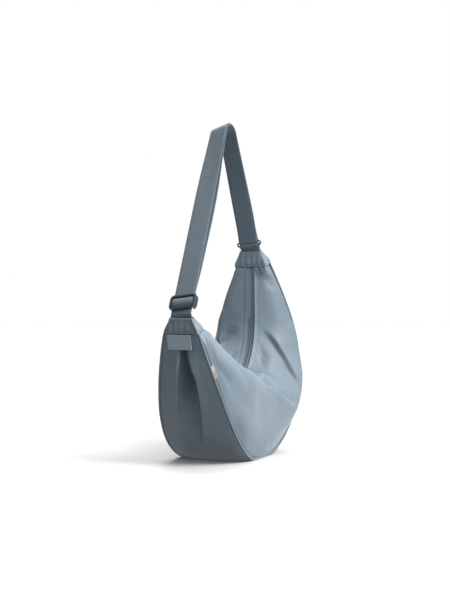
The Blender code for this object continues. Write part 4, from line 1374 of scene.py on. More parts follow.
    def gusset_grid(self, inset: float = 0.0) -> Grid:
        """Return the fine grid of the gusset's outer face, with its crown and pleats.

        Args:
            inset: Distance that the face is moved inwards, for the lining.

        Returns:
            Points as stations, places over the width and xyz.
        """
        shares = [signed_power(share, self.gusset_crowding) for share in np.linspace(-1, 1, self.columns + 1)]
        total = self.shape.length
        rows = []
        for index in range(self.rounds + 1):
            cut = self.shape.station(index / self.rounds)
            end = min(cut.travel, total - cut.travel)
            crown = self.shape.crown * smooth((end - self.crown_start) / self.crown_start)
            row = []
            for share in shares:
                width = share * (cut.gusset + self.tuck)
                groove = self.pleat.groove(end, width, inset * self.pleat_margin)
                groove *= smooth((1 - abs(share)) / self.pleat_edge)
                groove = min(groove, self.pleat_share * cut.height)
                curl = self.curl * max(0.0, 1 - cut.gusset * (1 - abs(share)) / self.curl_width) ** 2
                inward = inset + groove + curl - crown * (1 - share * share)
                row.append(tuple(self.shape.world(cut, inward, width)))
            rows.append(row)
        grid = np.array(rows)
        spans = grid_spans(grid, 1)
        edge = np.minimum(spans, spans[:, -1:] - spans)
        lift = self.gusset_sag.over(grid) + self.gusset_ruck.over(grid)
        lift *= np.clip(edge / self.gusset_hold, 0, 1)
        lift += self.gusset_pucker.over(grid) * np.exp(-edge / self.seam_reach)
        places = np.arange(self.rounds + 1)
        ends = np.minimum(places, places[::-1]) * total / self.rounds
        gather = np.sin(spans * math.tau / self.gusset_gather_pitch) * self.gusset_gather
        lift += np.exp(-ends / self.gusset_gather_reach)[:, None] * gather
        grid = grid + grid_normals(grid) * lift[:, :, None]
        grid[:, :, 2] = np.maximum(grid[:, :, 2], self.floor)
        return grid

    def seam_path(self, side: Side) -> Grid:
        """Return the middle line of the welt on a seam.

        Args:
            side: Front or back.

        Returns:
            Points from the near cap to the far cap.
        """
        points = []
        for index in range(self.rounds + 1):
            cut = self.shape.station(index / self.rounds)
            steep = cut.bulge / (self.shape.cut_shares[0][0] * cut.height)
            slope = Vector((self.welt_slope, steep * self.welt_slope)).normalized()
            away = Vector((-slope.y, slope.x))
            spot = Vector((0.0, cut.gusset)) + slope * self.welt_radius
            spot += away * (self.welt_radius + self.shape.seam_gap)
            points.append(tuple(self.shape.world(cut, spot.x, side.value * spot.y)))
        path = np.array(points)
        path[:, 2] = np.maximum(path[:, 2], self.welt_radius + self.floor)
        return path

    def build(self) -> None:
        """Build and dress the panels, the gusset and the welts."""
        nylon, cloth = self.wardrobe.nylon, self.shape.cloth
        for side in Side:
            name = f"{side.word}_panel"
            panel = cloth_object(name + "_cloth", self.panel_grid(side), nylon, cloth, side is Side.BACK)
            dress(panel, Body.BAG, "shell_cloth", name)
            dress(self.topstitch(side, name), Body.BAG, "shell_cloth")
        gusset = cloth_object("gusset_cloth", self.gusset_grid(), nylon, cloth, True)
        dress(gusset, Body.BAG, "shell_cloth", "gusset")
        for side in Side:
            name = f"{side.word}_seam_welt"
            welt = cord_tube(name + "_cloth", self.seam_path(side), self.welt_radius, nylon, 10)
            dress(welt, Body.BAG, "shell_cloth", name)

    def topstitch(self, side: Side, name: str) -> Item:
        """Return the row of stitches that runs beside the zip on a panel.

        Args:
            side: Front or back.
            name: Name of the panel.

        Returns:
            The stitches as one object.
        """
        grid = self.panel_grid(side)[2:-2]
        path, outward = [], []
        for row, travel, normal in zip(grid, grid_spans(grid, 1), self.outward(grid, side)):
            goal = travel[-1] - self.stitch_margin
            path.append(spot_at(goal, travel, row))
            outward.append(spot_at(goal, travel, normal))
        return Stitch().row(f"{name}_topstitch", np.array(path), np.array(outward), self.wardrobe.thread)

    def lining_grids(self) -> Iterable[tuple[str, Grid, bool, list[str]]]:
        """Return each lining's name, grid, whether it is turned over, and the nodes that hold it."""
        first, last = self.lining_near, self.rounds - self.lining_far
        for side in Side:
            edge = self.lining_panel_edge
            grid = self.panel_grid(side, self.panel_inset)[first:last:2, edge:-edge:2]
            grid[:, :, 2] = np.maximum(grid[:, :, 2], self.panel_inset)
            yield f"lining_{side.word}", grid, side is Side.BACK, [f"zip_tape_{side.word}"]
        edge = self.lining_gusset_edge
        grid = self.gusset_grid(self.gusset_inset)[first:last:3, edge:-edge:2]
        grid[:, :, 2] = np.maximum(grid[:, :, 2], self.gusset_inset)
        yield "lining_gusset", grid, True, ["lining_front", "lining_back"]

    def build_lining(self) -> None:
        """Build and dress the loose lining inside the shell."""
        for name, grid, flip, holders in self.lining_grids():
            item = cloth_object(name + "_cloth", grid, self.wardrobe.lining, self.lining_thick, flip)
            dress(item, Body.BAG, "lining_cloth", name)
            along, across = np.diff(grid, axis=0)[:, :-1], np.diff(grid, axis=1)[:-1]
            area = float(np.linalg.norm(np.cross(along, across), axis=2).sum())
            flat = (float(grid_spans(grid, 1).max()), float(grid_spans(grid, 0).max()))
            log.info("%s: cut %.3f x %.3f m, %.4f m2", name, *flat, area)
            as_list(holders)


@dataclass
class ZipTrack:
    """Zip tapes, coils and stops along the mouth."""

    shape: Crescent
    wardrobe: Wardrobe
    tape_half: float = 0.0125
    split: float = 0.0006
    thick: float = 0.0008
    drop: float = 0.0026
    seat: float = 0.0003
    cord_edge: float = 0.000125
    cord_edge_width: float = 0.0016
    coil_radius: float = 0.0010
    coil_stretch: float = 1.15
    wire: float = 0.00034
    pitch: float = 0.0017
    stop: float = 0.0022
    stop_edge: float = 0.0004
    steps: int = 220
    columns: int = 9
    coil_steps: int = 8

    def row(self, rise: float, width: float) -> Grid:
        """Return the line beside the zip at a rise over it and a width from its middle.

        Args:
            rise: Height towards the zip's centre.
            width: Distance from the zip's middle, positive towards the back.

        Returns:
            Points from the near cap to the far cap.
        """
        shape = self.shape
        reaches = np.linspace(0, shape.inner_travel[-1], self.steps + 1)
        columns = [np.interp(reaches, shape.inner_travel, column) for column in shape.inner_line.T]
        line = np.stack(columns, axis=1)
        points = []
        for index, (spot, way) in enumerate(zip(line, unit(np.gradient(line, axis=0)))):
            y = width + shape.back_shift(index / self.steps)
            points.append(tuple(shape.place(spot[0] + way[1] * rise, spot[1] - way[0] * rise, y)))
        return np.array(points)

    def tape_grid(self, side: Side) -> Grid:
        """Return the grid of one tape half, with a slight roll at its inner cord edge.

        Args:
            side: Front or back.

        Returns:
            Points as places along the zip, places over the tape and xyz.
        """
        lines = []
        for width in np.linspace(self.split, self.tape_half, self.columns):
            roll = self.cord_edge * math.exp(-(((width - self.split) / self.cord_edge_width) ** 2))
            lines.append(self.row(-self.drop + roll, side.value * width))
        return np.stack(lines, axis=1)

    def coil_path(self, side: Side) -> Grid:
        """Return the wire of one coil half as it winds along the zip's arc.

        Args:
            side: Front or back.

        Returns:
            Points of the wire's middle.
        """
        turn = self.stop / self.shape.zip_radius
        first = -self.shape.near.zip_angle + 2 * turn
        last = self.shape.far.zip_angle - 2 * turn
        count = int((last - first) * self.shape.zip_radius / self.pitch) * self.coil_steps
        middle = self.split + self.seat + self.coil_radius
        reach = self.coil_radius - self.wire
        phase = 0.0 if side is Side.FRONT else math.pi
        points = []
        for step in range(count + 1):
            angle = first + (last - first) * step / count
            swing = math.tau * step / self.coil_steps + phase
            rise = self.seat + self.coil_radius - self.drop + reach * math.sin(swing)
            width = side.value * (middle + reach * self.coil_stretch * math.cos(swing))
            points.append(tuple(self.shape.place(*self.shape.zip_at(angle, rise), width)))
        return np.array(points)

    def build(self) -> None:
        """Build and dress the tapes, the coils and the stops."""
        wardrobe = self.wardrobe
        for side in Side:
            tape, coil = f"zip_tape_{side.word}", f"zip_coil_{side.word}"
            grid, flip = self.tape_grid(side), side is Side.FRONT
            cloth = cloth_object(tape + "_cloth", grid, wardrobe.tape, self.thick, flip)
            dress(cloth, Body.BAG, "zip_tape", tape)
            wire = cord_tube(coil + "_wire", self.coil_path(side), self.wire, wardrobe.coil, 5)
            dress(wire, Body.BAG, "zip_coil", coil)
        for name in ("near_zip_stop", "far_zip_stop"):
            dress(refined(name, wardrobe.metal, self.stop_edge), Body.BAG, "zip_metal", name)


def refined(node: str, material: Material, edge: float) -> Item:
    """Return a copy of a CAD node with softened edges and its finish.

    Args:
        node: Name of the CAD node.
        material: Finish of the copy.
        edge: Width of the softened edges.

    Returns:
        The new object, in the place of the node.
    """
    weld, flat, soft, sharp = 0.00001, math.radians(2), math.radians(32), math.radians(45)
    body = bmesh.new()
    body.from_mesh(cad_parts[node].data)
    bmesh.ops.remove_doubles(body, verts=body.verts, dist=weld)
    bmesh.ops.dissolve_limit(body, angle_limit=flat, verts=body.verts, edges=body.edges)
    item = add_mesh(node + "_fine", [], [], material)
    body.to_mesh(item.data)
    body.free()
    bevel = item.modifiers.new("soft_edges", "BEVEL")
    bevel.width = edge
    bevel.segments = 3
    bevel.limit_method = "ANGLE"
    bevel.angle_limit = soft
    bevel.use_clamp_overlap = True
    apply_modifiers(item)
    item.data.shade_smooth()
    item.data.set_sharp_from_angle(angle=sharp)
    return item


# Horn ends


@dataclass
class HornEnd:
    """Cap and seam details at the tip of one horn."""

    shape: Crescent
    horn: Horn
    name: str
    wardrobe: Wardrobe
    slot_half: float
    top_half_thick: float = 0.0070
    top_half_width: float = 0.0290
    flare: float = 0.0016
    foot_flare: float = 0.0034
    foot_rise: float = 0.0009
    foot_power: float = 14.0
    top_power: float = 5.0
    lip_start: float = 0.88
    lip_thick: float = 0.0018
    lip_width: float = 0.0012
    lip_drop: float = 0.0006
    lip_gap: float = 0.0009
    gather: float = 0.0006
    gather_pitch: float = 0.0024
    gather_stray: float = 2.6
    gather_place: float = 0.40
    gather_spread: float = 0.34
    gather_side: float = 0.3
    gather_width: float = 0.6
    hem: float = 0.0009
    hem_place: float = 0.13
    hem_width: float = 0.035
    under_share: float = -0.09
    under_shrink: float = 0.0018
    wall_share: float = 0.8
    sides: int = 128
    rings: int = 26
    web_half: float = 0.025
    seam_lift: float = 0.0002
    seam_shares: tuple[float, float] = (0.075, 0.19)
    welt_radius: float = 0.0014
    welt_lift: float = 0.0006
    welt_shares: tuple[float, float] = (-0.02, 0.97)
    welt_steps: int = 22
    axis_rise: float = 0.006

    @property
    def seed(self) -> float:
        """Seed of the cap's gathers."""
        return 2.0 if self.horn.near else 5.0

    def middle(self, depth: float) -> Vector:
        """Return the middle of the cap at a depth, in the body's frame.

        Args:
            depth: Depth in the body's frame.

        Returns:
            P and Q of the middle.
        """
        horn, shape = self.horn, self.shape
        share = (depth - horn.cap_top) / horn.cap_length
        foot = (shape.outer_p(horn, horn.cap_foot) + shape.mouth_p(horn, horn.cap_foot)) / 2
        top = shape.outer_p(horn, horn.cap_top) - horn.side * self.top_half_thick
        return Vector((top + (foot - top) * share, depth))

    def shift(self, depth: float) -> float:
        """Return how far the horn is moved towards the back at a depth."""
        return self.horn.back_shift * (1 + (self.horn.cap_foot - depth) / self.shape.widest)

    def middle_point(self, depth: float) -> Vector:
        """Return the middle of the cap at a depth, in the world."""
        return self.shape.place(*self.middle(depth), self.shift(depth))

    def axis_point(self) -> Vector:
        """Return the point where the strap's swing axis passes this horn."""
        return self.middle_point(self.horn.cap_top - self.axis_rise)

    def foot_point(self) -> Vector:
        """Return the middle of the cap's foot."""
        return self.middle_point(self.horn.cap_foot)

    def rounded_square(self, power: float) -> list[tuple[float, float]]:
        """Return evenly spread points round a square, with rounder corners as the power falls.

        Args:
            power: 2 for a circle, and more for sharper corners.

        Returns:
            Points from -1 to 1.
        """
        points = []
        for step in range(self.sides):
            quarter, rest = divmod(8 * step / self.sides + 1, 2)
            x, y = 1.0, rest - 1
            for _ in range(int(quarter)):
                x, y = -y, x
            size = (abs(x) ** power + abs(y) ** power) ** (1 / power)
            points.append((x / size, y / size))
        return points

    def loop(self, share: float, shrink: float) -> list[Vector]:
        """Return one loop of the cap at a share of its height, with its gathers.

        Args:
            share: 0 at the foot and 1 at the top.
            shrink: Distance that the loop is moved inwards.

        Returns:
            Points round the cap.
        """
        horn, seed = self.horn, self.seed
        cut = self.shape.station(0.0 if horn.near else 1.0)
        depth = horn.cap_foot - self.foot_rise - (horn.cap_length - self.foot_rise) * share
        ease = smooth(share)
        thick, width = cut.height / 2 + self.flare, cut.gusset + self.foot_flare
        lip = max(0.0, (share - self.lip_start) / (1 - self.lip_start)) ** 2
        thick += (self.top_half_thick - thick) * ease - self.lip_thick * lip
        width += (self.top_half_width - width) * ease - self.lip_width * lip
        middle = self.middle(depth)
        reach = self.gather * math.exp(-((share - self.gather_place) / self.gather_spread) ** 2)
        hem = self.hem * math.exp(-((share - self.hem_place) / self.hem_width) ** 2)
        points = []
        for p, y in self.rounded_square(self.foot_power - (self.foot_power - self.top_power) * ease):
            stray = self.gather_stray * noise.noise(Vector((y * 2.5, share * 1.5, seed)))
            folds = math.sin(y * width / self.gather_pitch + seed + stray)
            gather = reach * folds * (self.gather_side + (1 - self.gather_side) * abs(p) ** 3)
            out = gather - hem - shrink
            y_place = self.shift(depth) + y * (width + out * self.gather_width)
            points.append(self.shape.place(middle.x + p * (thick + out), depth, y_place))
        return points

    def build_cap(self) -> Item:
        """Build the sewn cap as a sleeve, closed round the webbing at its top.

        Returns:
            The cap's mesh.
        """
        shares = [index / self.rings for index in range(self.rings + 1)]
        outer = [self.loop(self.under_share, self.under_shrink), *(self.loop(share, 0.0) for share in shares)]
        inner = [self.loop(share, self.shape.cloth * self.wall_share) for share in shares[::-1][2:]]
        depth = self.horn.cap_top
        spot = self.middle(depth)
        lip = []
        for p, y in self.rounded_square(self.top_power):
            width = self.shift(depth) + y * (self.web_half + self.lip_gap)
            lip.append(self.shape.place(spot.x + p * self.slot_half, depth + self.lip_drop, width))
        loops = np.array([[tuple(point) for point in loop] for loop in [*outer, lip, *inner]])
        faces = grid_faces(len(loops), self.sides, not self.horn.near, closed=True)
        last = (len(loops) - 1) * self.sides
        faces += [(last + j, j, (j + 1) % self.sides, last + (j + 1) % self.sides) for j in range(self.sides)]
        cap = add_mesh(f"{self.name}_end_cap_cloth", loops.reshape(-1, 3), faces, self.wardrobe.nylon)
        turn_outwards(cap)
        set_cloth_coordinates(cap.data, grid_spans(loops, 0), grid_spans(loops, 1))
        return cap

    def cap_seam(self, share: float) -> tuple[Grid, Grid]:
        """Return a stitch line across the cap's face and its outward directions."""
        ring = np.array([tuple(point) for point in self.loop(share, -self.seam_lift)])
        turn = self.sides // 8 - 1
        path = ring[self.sides // 2 - turn:self.sides // 2 + turn + 1]
        return path, path - ring.mean(axis=0)

    def cap_welt(self, side: Side) -> Grid:
        """Return the line of the seam that runs up a corner of the cap."""
        corner = -side.value * (self.sides // 8)
        place = self.sides // 2 + corner if self.horn.near else corner % self.sides
        shares = np.linspace(*self.welt_shares, self.welt_steps)
        return np.array([tuple(self.loop(float(share), -self.welt_lift)[place]) for share in shares])

    def soften(self, piece: Item, slot: str, *nodes: str) -> None:
        """Bake a piece's placement into its mesh and hide the nodes that it stands for."""
        tuple(self.foot_point())
        tuple(self.axis_point())
        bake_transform(piece)
        settle(piece, slot, *nodes)

    def build(self) -> None:
        """Build the cap, its seams and its stitching, and hide the nodes that they stand for."""
        cap = self.build_cap()
        self.soften(cap, "shell_cloth", f"{self.name}_end_cap")
        for index, share in enumerate(self.seam_shares):
            name = f"{self.name}_cap_stitches_{index + 1}"
            self.soften(Stitch().row(name, *self.cap_seam(share), self.wardrobe.thread), "shell_cloth")
        for side in Side:
            name = f"{self.name}_cap_welt_{side.word}"
            welt = cord_tube(name, self.cap_welt(side), self.welt_radius, self.wardrobe.nylon)
            self.soften(welt, "shell_cloth")


@dataclass
class Patch:
    """Webbing patch that is sewn on the gusset beside one cap."""

    shape: Crescent
    horn: Horn
    name: str
    wardrobe: Wardrobe
    shares: tuple[float, float]
    shift: float = 0.0
    half: float = 0.0280
    thick: float = 0.0018
    clearance: float = 0.0009
    stitch_lift: float = 0.0001
    margin: float = 0.0028
    wave: float = 0.0003
    stations: int = 30
    rows: int = 15
    columns: int = 25

    def grid(self, lift: float, margin: float) -> Grid:
        """Return the grid of the patch's face.

        Args:
            lift: Height of the face over the gusset's outline.
            margin: Distance kept from the patch's edges.

        Returns:
            Points of the face.
        """
        base = 0.0 if self.horn.near else (self.stations - 1) / self.stations
        reach = margin / (self.shape.length / self.stations)
        start, end = self.shares
        low, high = base + (start + reach) / self.stations, base + (end - reach) / self.stations
        rows = []
        for u in np.linspace(low, high, self.rows):
            cut = self.shape.station(float(u))
            row = []
            for share in np.linspace(-1, 1, self.columns):
                wave = self.wave * noise.noise(Vector((u * 400, share * 3, 4.0)))
                width = share * (self.half - margin) + self.shift
                row.append(tuple(self.shape.world(cut, -(lift + wave), width)))
            rows.append(row)
        return np.array(rows)

    def outward(self) -> Grid:
        """Return the outward direction of the patch."""
        cut = self.shape.station(0.015 if self.horn.near else 0.985)
        return np.array(self.shape.world(cut, -1.0, 0.0) - self.shape.world(cut, 0.0, 0.0))

    def build(self) -> None:
        """Build and dress the patch and the stitches round its edge."""
        lift = self.thick + self.clearance
        name, finish = f"{self.name}_patch_web", self.wardrobe.patch
        patch = cloth_object(name, self.grid(lift, 0.0), finish, self.thick, True)
        dress(patch, Body.BAG, "webbing", f"{self.name}_webbing_patch")
        box = self.grid(lift + self.stitch_lift, self.margin)
        ring = np.concatenate([box[0], box[1:, -1], box[-1, ::-1][1:], box[::-1, 0][1:]])
        stitches = Stitch().row(f"{self.name}_patch_stitches", ring, self.outward(), self.wardrobe.thread)
        dress(stitches, Body.BAG, "webbing")


@dataclass
class SideTag:
    """Plain folded loop tag in the front seam."""

    shape: Crescent
    wardrobe: Wardrobe
    width: float = 0.0088
    thick: float = 0.0009
    welt: float = 0.0012
    gap: float = 0.0003
    lift: float = 0.0021
    swell: float = 0.0007
    start_share: float = 2.12 / 30
    end_share: float = 2.88 / 30
    rows: int = 16
    columns: int = 10

    def build(self) -> None:
        """Build and dress the tag."""
        rows = []
        for share in np.linspace(self.start_share, self.end_share, self.rows):
            cut = self.shape.station(float(share))
            line = self.shape.panel_cut(cut, 2)
            slope = (line[1] - line[0]).normalized()
            away = Vector((-slope.y, slope.x))
            row = []
            for reach in np.linspace(0, 1, self.columns):
                lift = self.lift + self.swell * math.sin(math.pi * reach)
                spot = line[0] + slope * (2 * self.welt + self.gap + self.width * reach) + away * lift
                row.append(tuple(self.shape.world(cut, spot.x, -spot.y)))
            rows.append(row)
        tag = cloth_object("side_tag_cloth", np.array(rows), self.wardrobe.tag, self.thick)
        dress(tag, Body.BAG, "tag_cloth", "side_tag")


# Strap and fittings


@dataclass
class StrapPath:
    """Plane and middle line of the strap, from the near root over the fold to the ring."""

    near: HornEnd
    far: HornEnd
    apex_along: float = 0.441
    apex_rise: float = 0.300
    fold_radius: float = 0.026
    lean: float = math.radians(7.5)
    turn: float = math.radians(14)
    roll: float = math.radians(7)
    ring_low: float = 0.008
    ring_spacing: float = 0.0086
    adjust_centre: float = 0.030
    adjust_travel: float = 0.240
    slide_half: float = 0.019
    web_half: float = 0.025
    web_thick: float = 0.0018
    gap: float = 0.0003
    layer_half: float = 0.00115
    swell: float = 0.0060
    shift: float = 0.0025
    shift_reach: float = 4.0
    ring_stock: float = 0.0020
    opening_reach: float = 8.0
    return_fixed: float = 0.400
    near_root: Vector = field(init=False)
    along: Vector = field(init=False)
    up: Vector = field(init=False)
    side: Vector = field(init=False)
    span: float = field(init=False)
    sky: Vector = field(init=False)
    level: Vector = field(init=False)
    centre: Vector = field(init=False)
    leg_end: Vector = field(init=False)
    near_touch: Vector = field(init=False)
    far_touch: Vector = field(init=False)
    arc: tuple[float, float] = field(init=False)
    near_length: float = field(init=False)
    arc_length: float = field(init=False)
    length: float = field(init=False)
    wrap: float = field(init=False)

    def __post_init__(self) -> None:
        """Work out the plane, the fold and the lengths of both legs."""
        self.near_root = self.near.axis_point()
        far_root = self.far.axis_point()
        self.along = (far_root - self.near_root).normalized()
        self.span = (far_root - self.near_root).length
        lean = self.near.shape.lean
        body_up = Vector((-math.sin(lean), 0, math.cos(lean)))
        upright = (body_up - self.along * body_up.dot(self.along)).normalized()
        back = upright.cross(self.along)
        self.up = upright * math.cos(self.lean) + back * math.sin(self.lean)
        self.side = self.up.cross(self.along)
        sky = Vector((self.along.z, self.up.z)).normalized()
        self.sky = self.along * sky.x + self.up * sky.y
        self.level = self.along * sky.y - self.up * sky.x
        self.centre = Vector((self.apex_along, self.apex_rise)) - sky * self.fold_radius
        self.leg_end = Vector((self.span, self.ring_low + self.ring_spacing))
        self.near_touch = self.touch(Vector((0, 0)), -1)
        self.far_touch = self.touch(self.leg_end, 1)
        first = math.atan2(self.near_touch.y - self.centre.y, self.near_touch.x - self.centre.x)
        last = math.atan2(self.far_touch.y - self.centre.y, self.far_touch.x - self.centre.x)
        if first < last:
            first += math.tau
        self.arc = (first, last)
        self.near_length = self.near_touch.length
        self.arc_length = (first - last) * self.fold_radius
        self.length = self.near_length + self.arc_length + (self.leg_end - self.far_touch).length
        self.wrap = self.ring_stock + self.gap + self.web_thick / 2

    def touch(self, point: Vector, side: int) -> Vector:
        """Return where a line from outside touches the fold's circle."""
        offset = point - self.centre
        spread = math.acos(self.fold_radius / offset.length)
        angle = math.atan2(offset.y, offset.x) + side * spread
        return self.centre + Vector((math.cos(angle), math.sin(angle))) * self.fold_radius

    def base(self, travel: float) -> tuple[Vector, Vector]:
        """Return the middle line at a travel.

        Args:
            travel: Distance along the strap from the near root.

        Returns:
            The point and its outward normal, in the strap's plane.
        """
        if travel <= self.near_length:
            forward = self.near_touch.normalized()
            return forward * travel, Vector((-forward.y, forward.x))
        if travel < self.near_length + self.arc_length:
            share = (travel - self.near_length) / self.arc_length
            angle = self.arc[0] + (self.arc[1] - self.arc[0]) * share
            normal = Vector((math.cos(angle), math.sin(angle)))
            return self.centre + normal * self.fold_radius, normal
        forward = (self.leg_end - self.far_touch).normalized()
        rest = travel - self.near_length - self.arc_length
        return self.far_touch + forward * rest, Vector((-forward.y, forward.x))

    def share(self, travel: float) -> float:
        """Return the share of the webbing's turn and roll at a travel.

        Args:
            travel: Distance along the strap from the near root.

        Returns:
            0 at the slide and the ring, and 1 at the fold.
        """
        start = self.adjust_centre + self.adjust_travel + 2 * self.slide_half
        top = self.near_length + self.arc_length / 2
        if travel < top:
            return smooth((travel - start) / (top - start))
        return smooth((self.length - travel) / (self.length - top))

    def across(self, share: float) -> Vector:
        """Return the direction of the webbing's width at a share of its turn and roll."""
        turn = self.turn * share
        way = self.side * math.cos(turn) + self.level * math.sin(turn)
        return (way - self.sky * math.sin(self.roll * share)).normalized()

    def world(self, spot: Vector) -> Vector:
        """Return the world position of a point of the plane."""
        return self.near_root + self.along * spot.x + self.up * spot.y

    def opening(self, travel: float) -> float:
        """Return how far the layers have opened to pass round the ring."""
        reach = self.opening_reach * self.ring_stock
        return smooth((travel - (self.length - reach)) / reach)

    def outer_offset(self, travel: float) -> float:
        """Return the distance of the outer layer from the middle line."""
        return self.layer_half + (self.wrap - self.layer_half) * self.opening(travel)

    def inner_offset(self, travel: float) -> float:
        """Return the distance of the returning layer from the middle line."""
        start = self.adjust_centre + self.slide_half
        share = (travel - start) / (self.near_length - start)
        swell = self.swell * math.sin(math.pi * min(max(share, 0), 1)) ** 2
        return self.outer_offset(travel) + (swell if travel < self.near_length else 0.0)

    def inner_shift(self, travel: float) -> float:
        """Return the sideways shift of the returning layer."""
        start, reach = self.adjust_centre + self.slide_half, self.shift_reach * self.slide_half
        return -self.shift * smooth((travel - start) / reach) * smooth((self.length - travel) / reach)

    def leg_direction(self) -> Vector:
        """Return the direction of the near leg in the world."""
        forward = self.near_touch.normalized()
        return self.along * forward.x + self.up * forward.y

    def ring_direction(self) -> Vector:
        """Return the direction from the ring up the far leg, in the strap's plane."""
        return (self.far_touch - self.leg_end).normalized()


@dataclass
class Strap:
    """Webbing of the strap with its sewn ends, its slack run and the loops at both roots."""

    path: StrapPath
    wardrobe: Wardrobe
    pitch: float = 0.005
    lap: float = 0.006
    edge_share: float = 0.7
    edge_steps: int = 4
    face_shares: tuple[float, ...] = (0.7, 0.35, 0.0, -0.35, -0.7)
    face_hollow: float = 0.06
    face_power: int = 4
    turn_steps: int = 12
    return_share: float = 0.6
    run_steps: int = 70
    root_depth: float = 0.005
    root_steps: int = 12
    root_shares: tuple[float, ...] = (0.0, 0.5, 1.0)
    loop_depth: float = 0.030
    loop_steps: int = 8
    loop_shares: tuple[float, ...] = (0.0, 0.35, 0.7, 1.0)
    loop_play: float = 0.0015
    loop_crown: float = 0.0006

    def profile(self) -> list[tuple[float, float]]:
        """Return the cut of the webbing, with rounded woven edges.

        Returns:
            Points as places across the width and the thickness.
        """
        half, thick = self.path.web_half, self.path.web_thick / 2
        bow = thick * self.edge_share
        points = []
        for side in (1, -1):
            for step in range(self.edge_steps + 1):
                angle = -math.pi / 2 + math.pi * step / self.edge_steps
                points.append((side * (half - bow + bow * math.cos(angle)), side * thick * math.sin(angle)))
            for share in self.face_shares:
                hollow = self.face_hollow * abs(share) ** self.face_power
                points.append((side * half * share, side * thick * (1 - hollow)))
        return points

    def ribbon(self, name: str, spots: Sequence[Vector], across: Sequence[Vector],
               shifts: Optional[Sequence[float]] = None) -> Item:
        """Sweep the webbing along points of the world.

        Args:
            name: Name of the object.
            spots: Points of the webbing's middle.
            across: Direction of its width at each point.
            shifts: Sideways shift at each point, or none.

        Returns:
            The new object.
        """
        ways = np.array([tuple(way) for way in across])
        line = np.array([tuple(spot) for spot in spots])
        if shifts is not None:
            line = line + ways * np.array(shifts)[:, None]
        normal = unit(np.cross(unit(np.gradient(line, axis=0)), ways))
        return sweep(name, line, ways, normal, self.profile(), self.wardrobe.webbing)

    def layer(self, travels: Iterable[float], outer: bool) -> tuple[list[Vector], list[Vector], list[float]]:
        """Return one layer of the webbing at the given travels.

        Args:
            travels: Distances along the strap from the near root.
            outer: Take the outer layer, not the returning one.

        Returns:
            Points, directions of the width, and sideways shifts.
        """
        path = self.path
        spots, ways, shifts = [], [], []
        for travel in travels:
            point, normal = path.base(travel)
            offset = path.outer_offset(travel) if outer else -path.inner_offset(travel)
            spots.append(path.world(point + normal * offset))
            ways.append(path.across(path.share(travel)))
            shifts.append(0.0 if outer else path.inner_shift(travel))
        return spots, ways, shifts

    def half_turn(self, middle: Vector, first: Vector, top: Vector) -> list[Vector]:
        """Return the points of a half turn round a bar, from one way over the top and without its ends."""
        angles = [math.pi * step / self.turn_steps for step in range(1, self.turn_steps)]
        return [self.path.world(middle + first * math.cos(angle) + top * math.sin(angle)) for angle in angles]

    def build(self) -> None:
        """Build and dress every length of webbing."""
        self.build_webbing()
        self.build_slack_run()
        self.build_near_root()
        self.build_far_loop()

    def build_webbing(self) -> None:
        """Build the webbing that runs over the fold, round the ring and back."""
        path = self.path
        count = int(path.length / self.pitch)
        spots, ways, shifts = self.layer(np.linspace(self.lap - path.gap / 2, path.length, count), True)
        point, normal = path.base(path.length)
        turn = self.half_turn(point, normal * path.wrap, -path.ring_direction() * path.wrap)
        back = self.layer(np.linspace(path.length, path.return_fixed, int(count * self.return_share)), False)
        spots += turn + back[0]
        ways += [path.across(0.0)] * len(turn) + back[1]
        shifts += [0.0] * len(turn) + back[2]
        webbing = self.ribbon("strap_webbing_web", spots, ways, shifts)
        dress(webbing, Body.STRAP, "webbing", "strap_webbing")

    def build_slack_run(self) -> None:
        """Build the slack run that lies behind the near leg."""
        path = self.path
        start, end = path.adjust_centre + path.slide_half + 2 * path.gap, path.return_fixed - 2 * path.gap
        run = self.ribbon("strap_slack_run_web", *self.layer(np.linspace(start, end, self.run_steps), False))
        fixed = path.world(path.base(path.return_fixed)[0])
        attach(run, Body.STRAP.value)
        settle(run, "webbing", "strap_slack_run")
        tuple(path.leg_direction())
        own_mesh(run)

    def build_near_root(self) -> None:
        """Build the webbing that comes up out of the near cap."""
        path, end = self.path, self.path.near
        low, high = end.horn.cap_foot - self.root_depth, end.horn.cap_top - path.gap
        depths = np.linspace(low, high, self.root_steps)
        spots = [end.middle_point(float(depth)) for depth in depths]
        ways = [Vector((0, 1, 0))] * self.root_steps + [path.side] * len(self.root_shares)
        for share in self.root_shares:
            point, normal = path.base(share * self.lap)
            spots.append(path.world(point + normal * path.layer_half))
        root = self.ribbon("near_root_webbing_web", spots, ways)
        end.soften(root, "webbing", "near_root_webbing")

    def far_loop_leg(self, side: int, half_open: float) -> list[Vector]:
        """Return one leg of the loop that holds the ring.

        Args:
            side: 1 for the outer leg and -1 for the inner one.
            half_open: Half of the loop's opening at the ring.

        Returns:
            Points from inside the cap up to the ring.
        """
        path, end = self.path, self.path.far
        upward = path.ring_direction()
        outward = Vector((upward.y, -upward.x))
        top = path.leg_end - upward * path.ring_spacing - upward * path.ring_stock
        low, high = path.layer_half * side, half_open * side
        spots = []
        for depth in np.linspace(end.horn.cap_foot - self.loop_depth, end.horn.cap_top, self.loop_steps):
            spot = end.middle(float(depth))
            spots.append(end.shape.place(spot.x + low, spot.y))
        for share in self.loop_shares:
            spot = Vector((path.span, 0)).lerp(top, share)
            spots.append(path.world(spot + outward * (low + (high - low) * smooth(share))))
        return spots

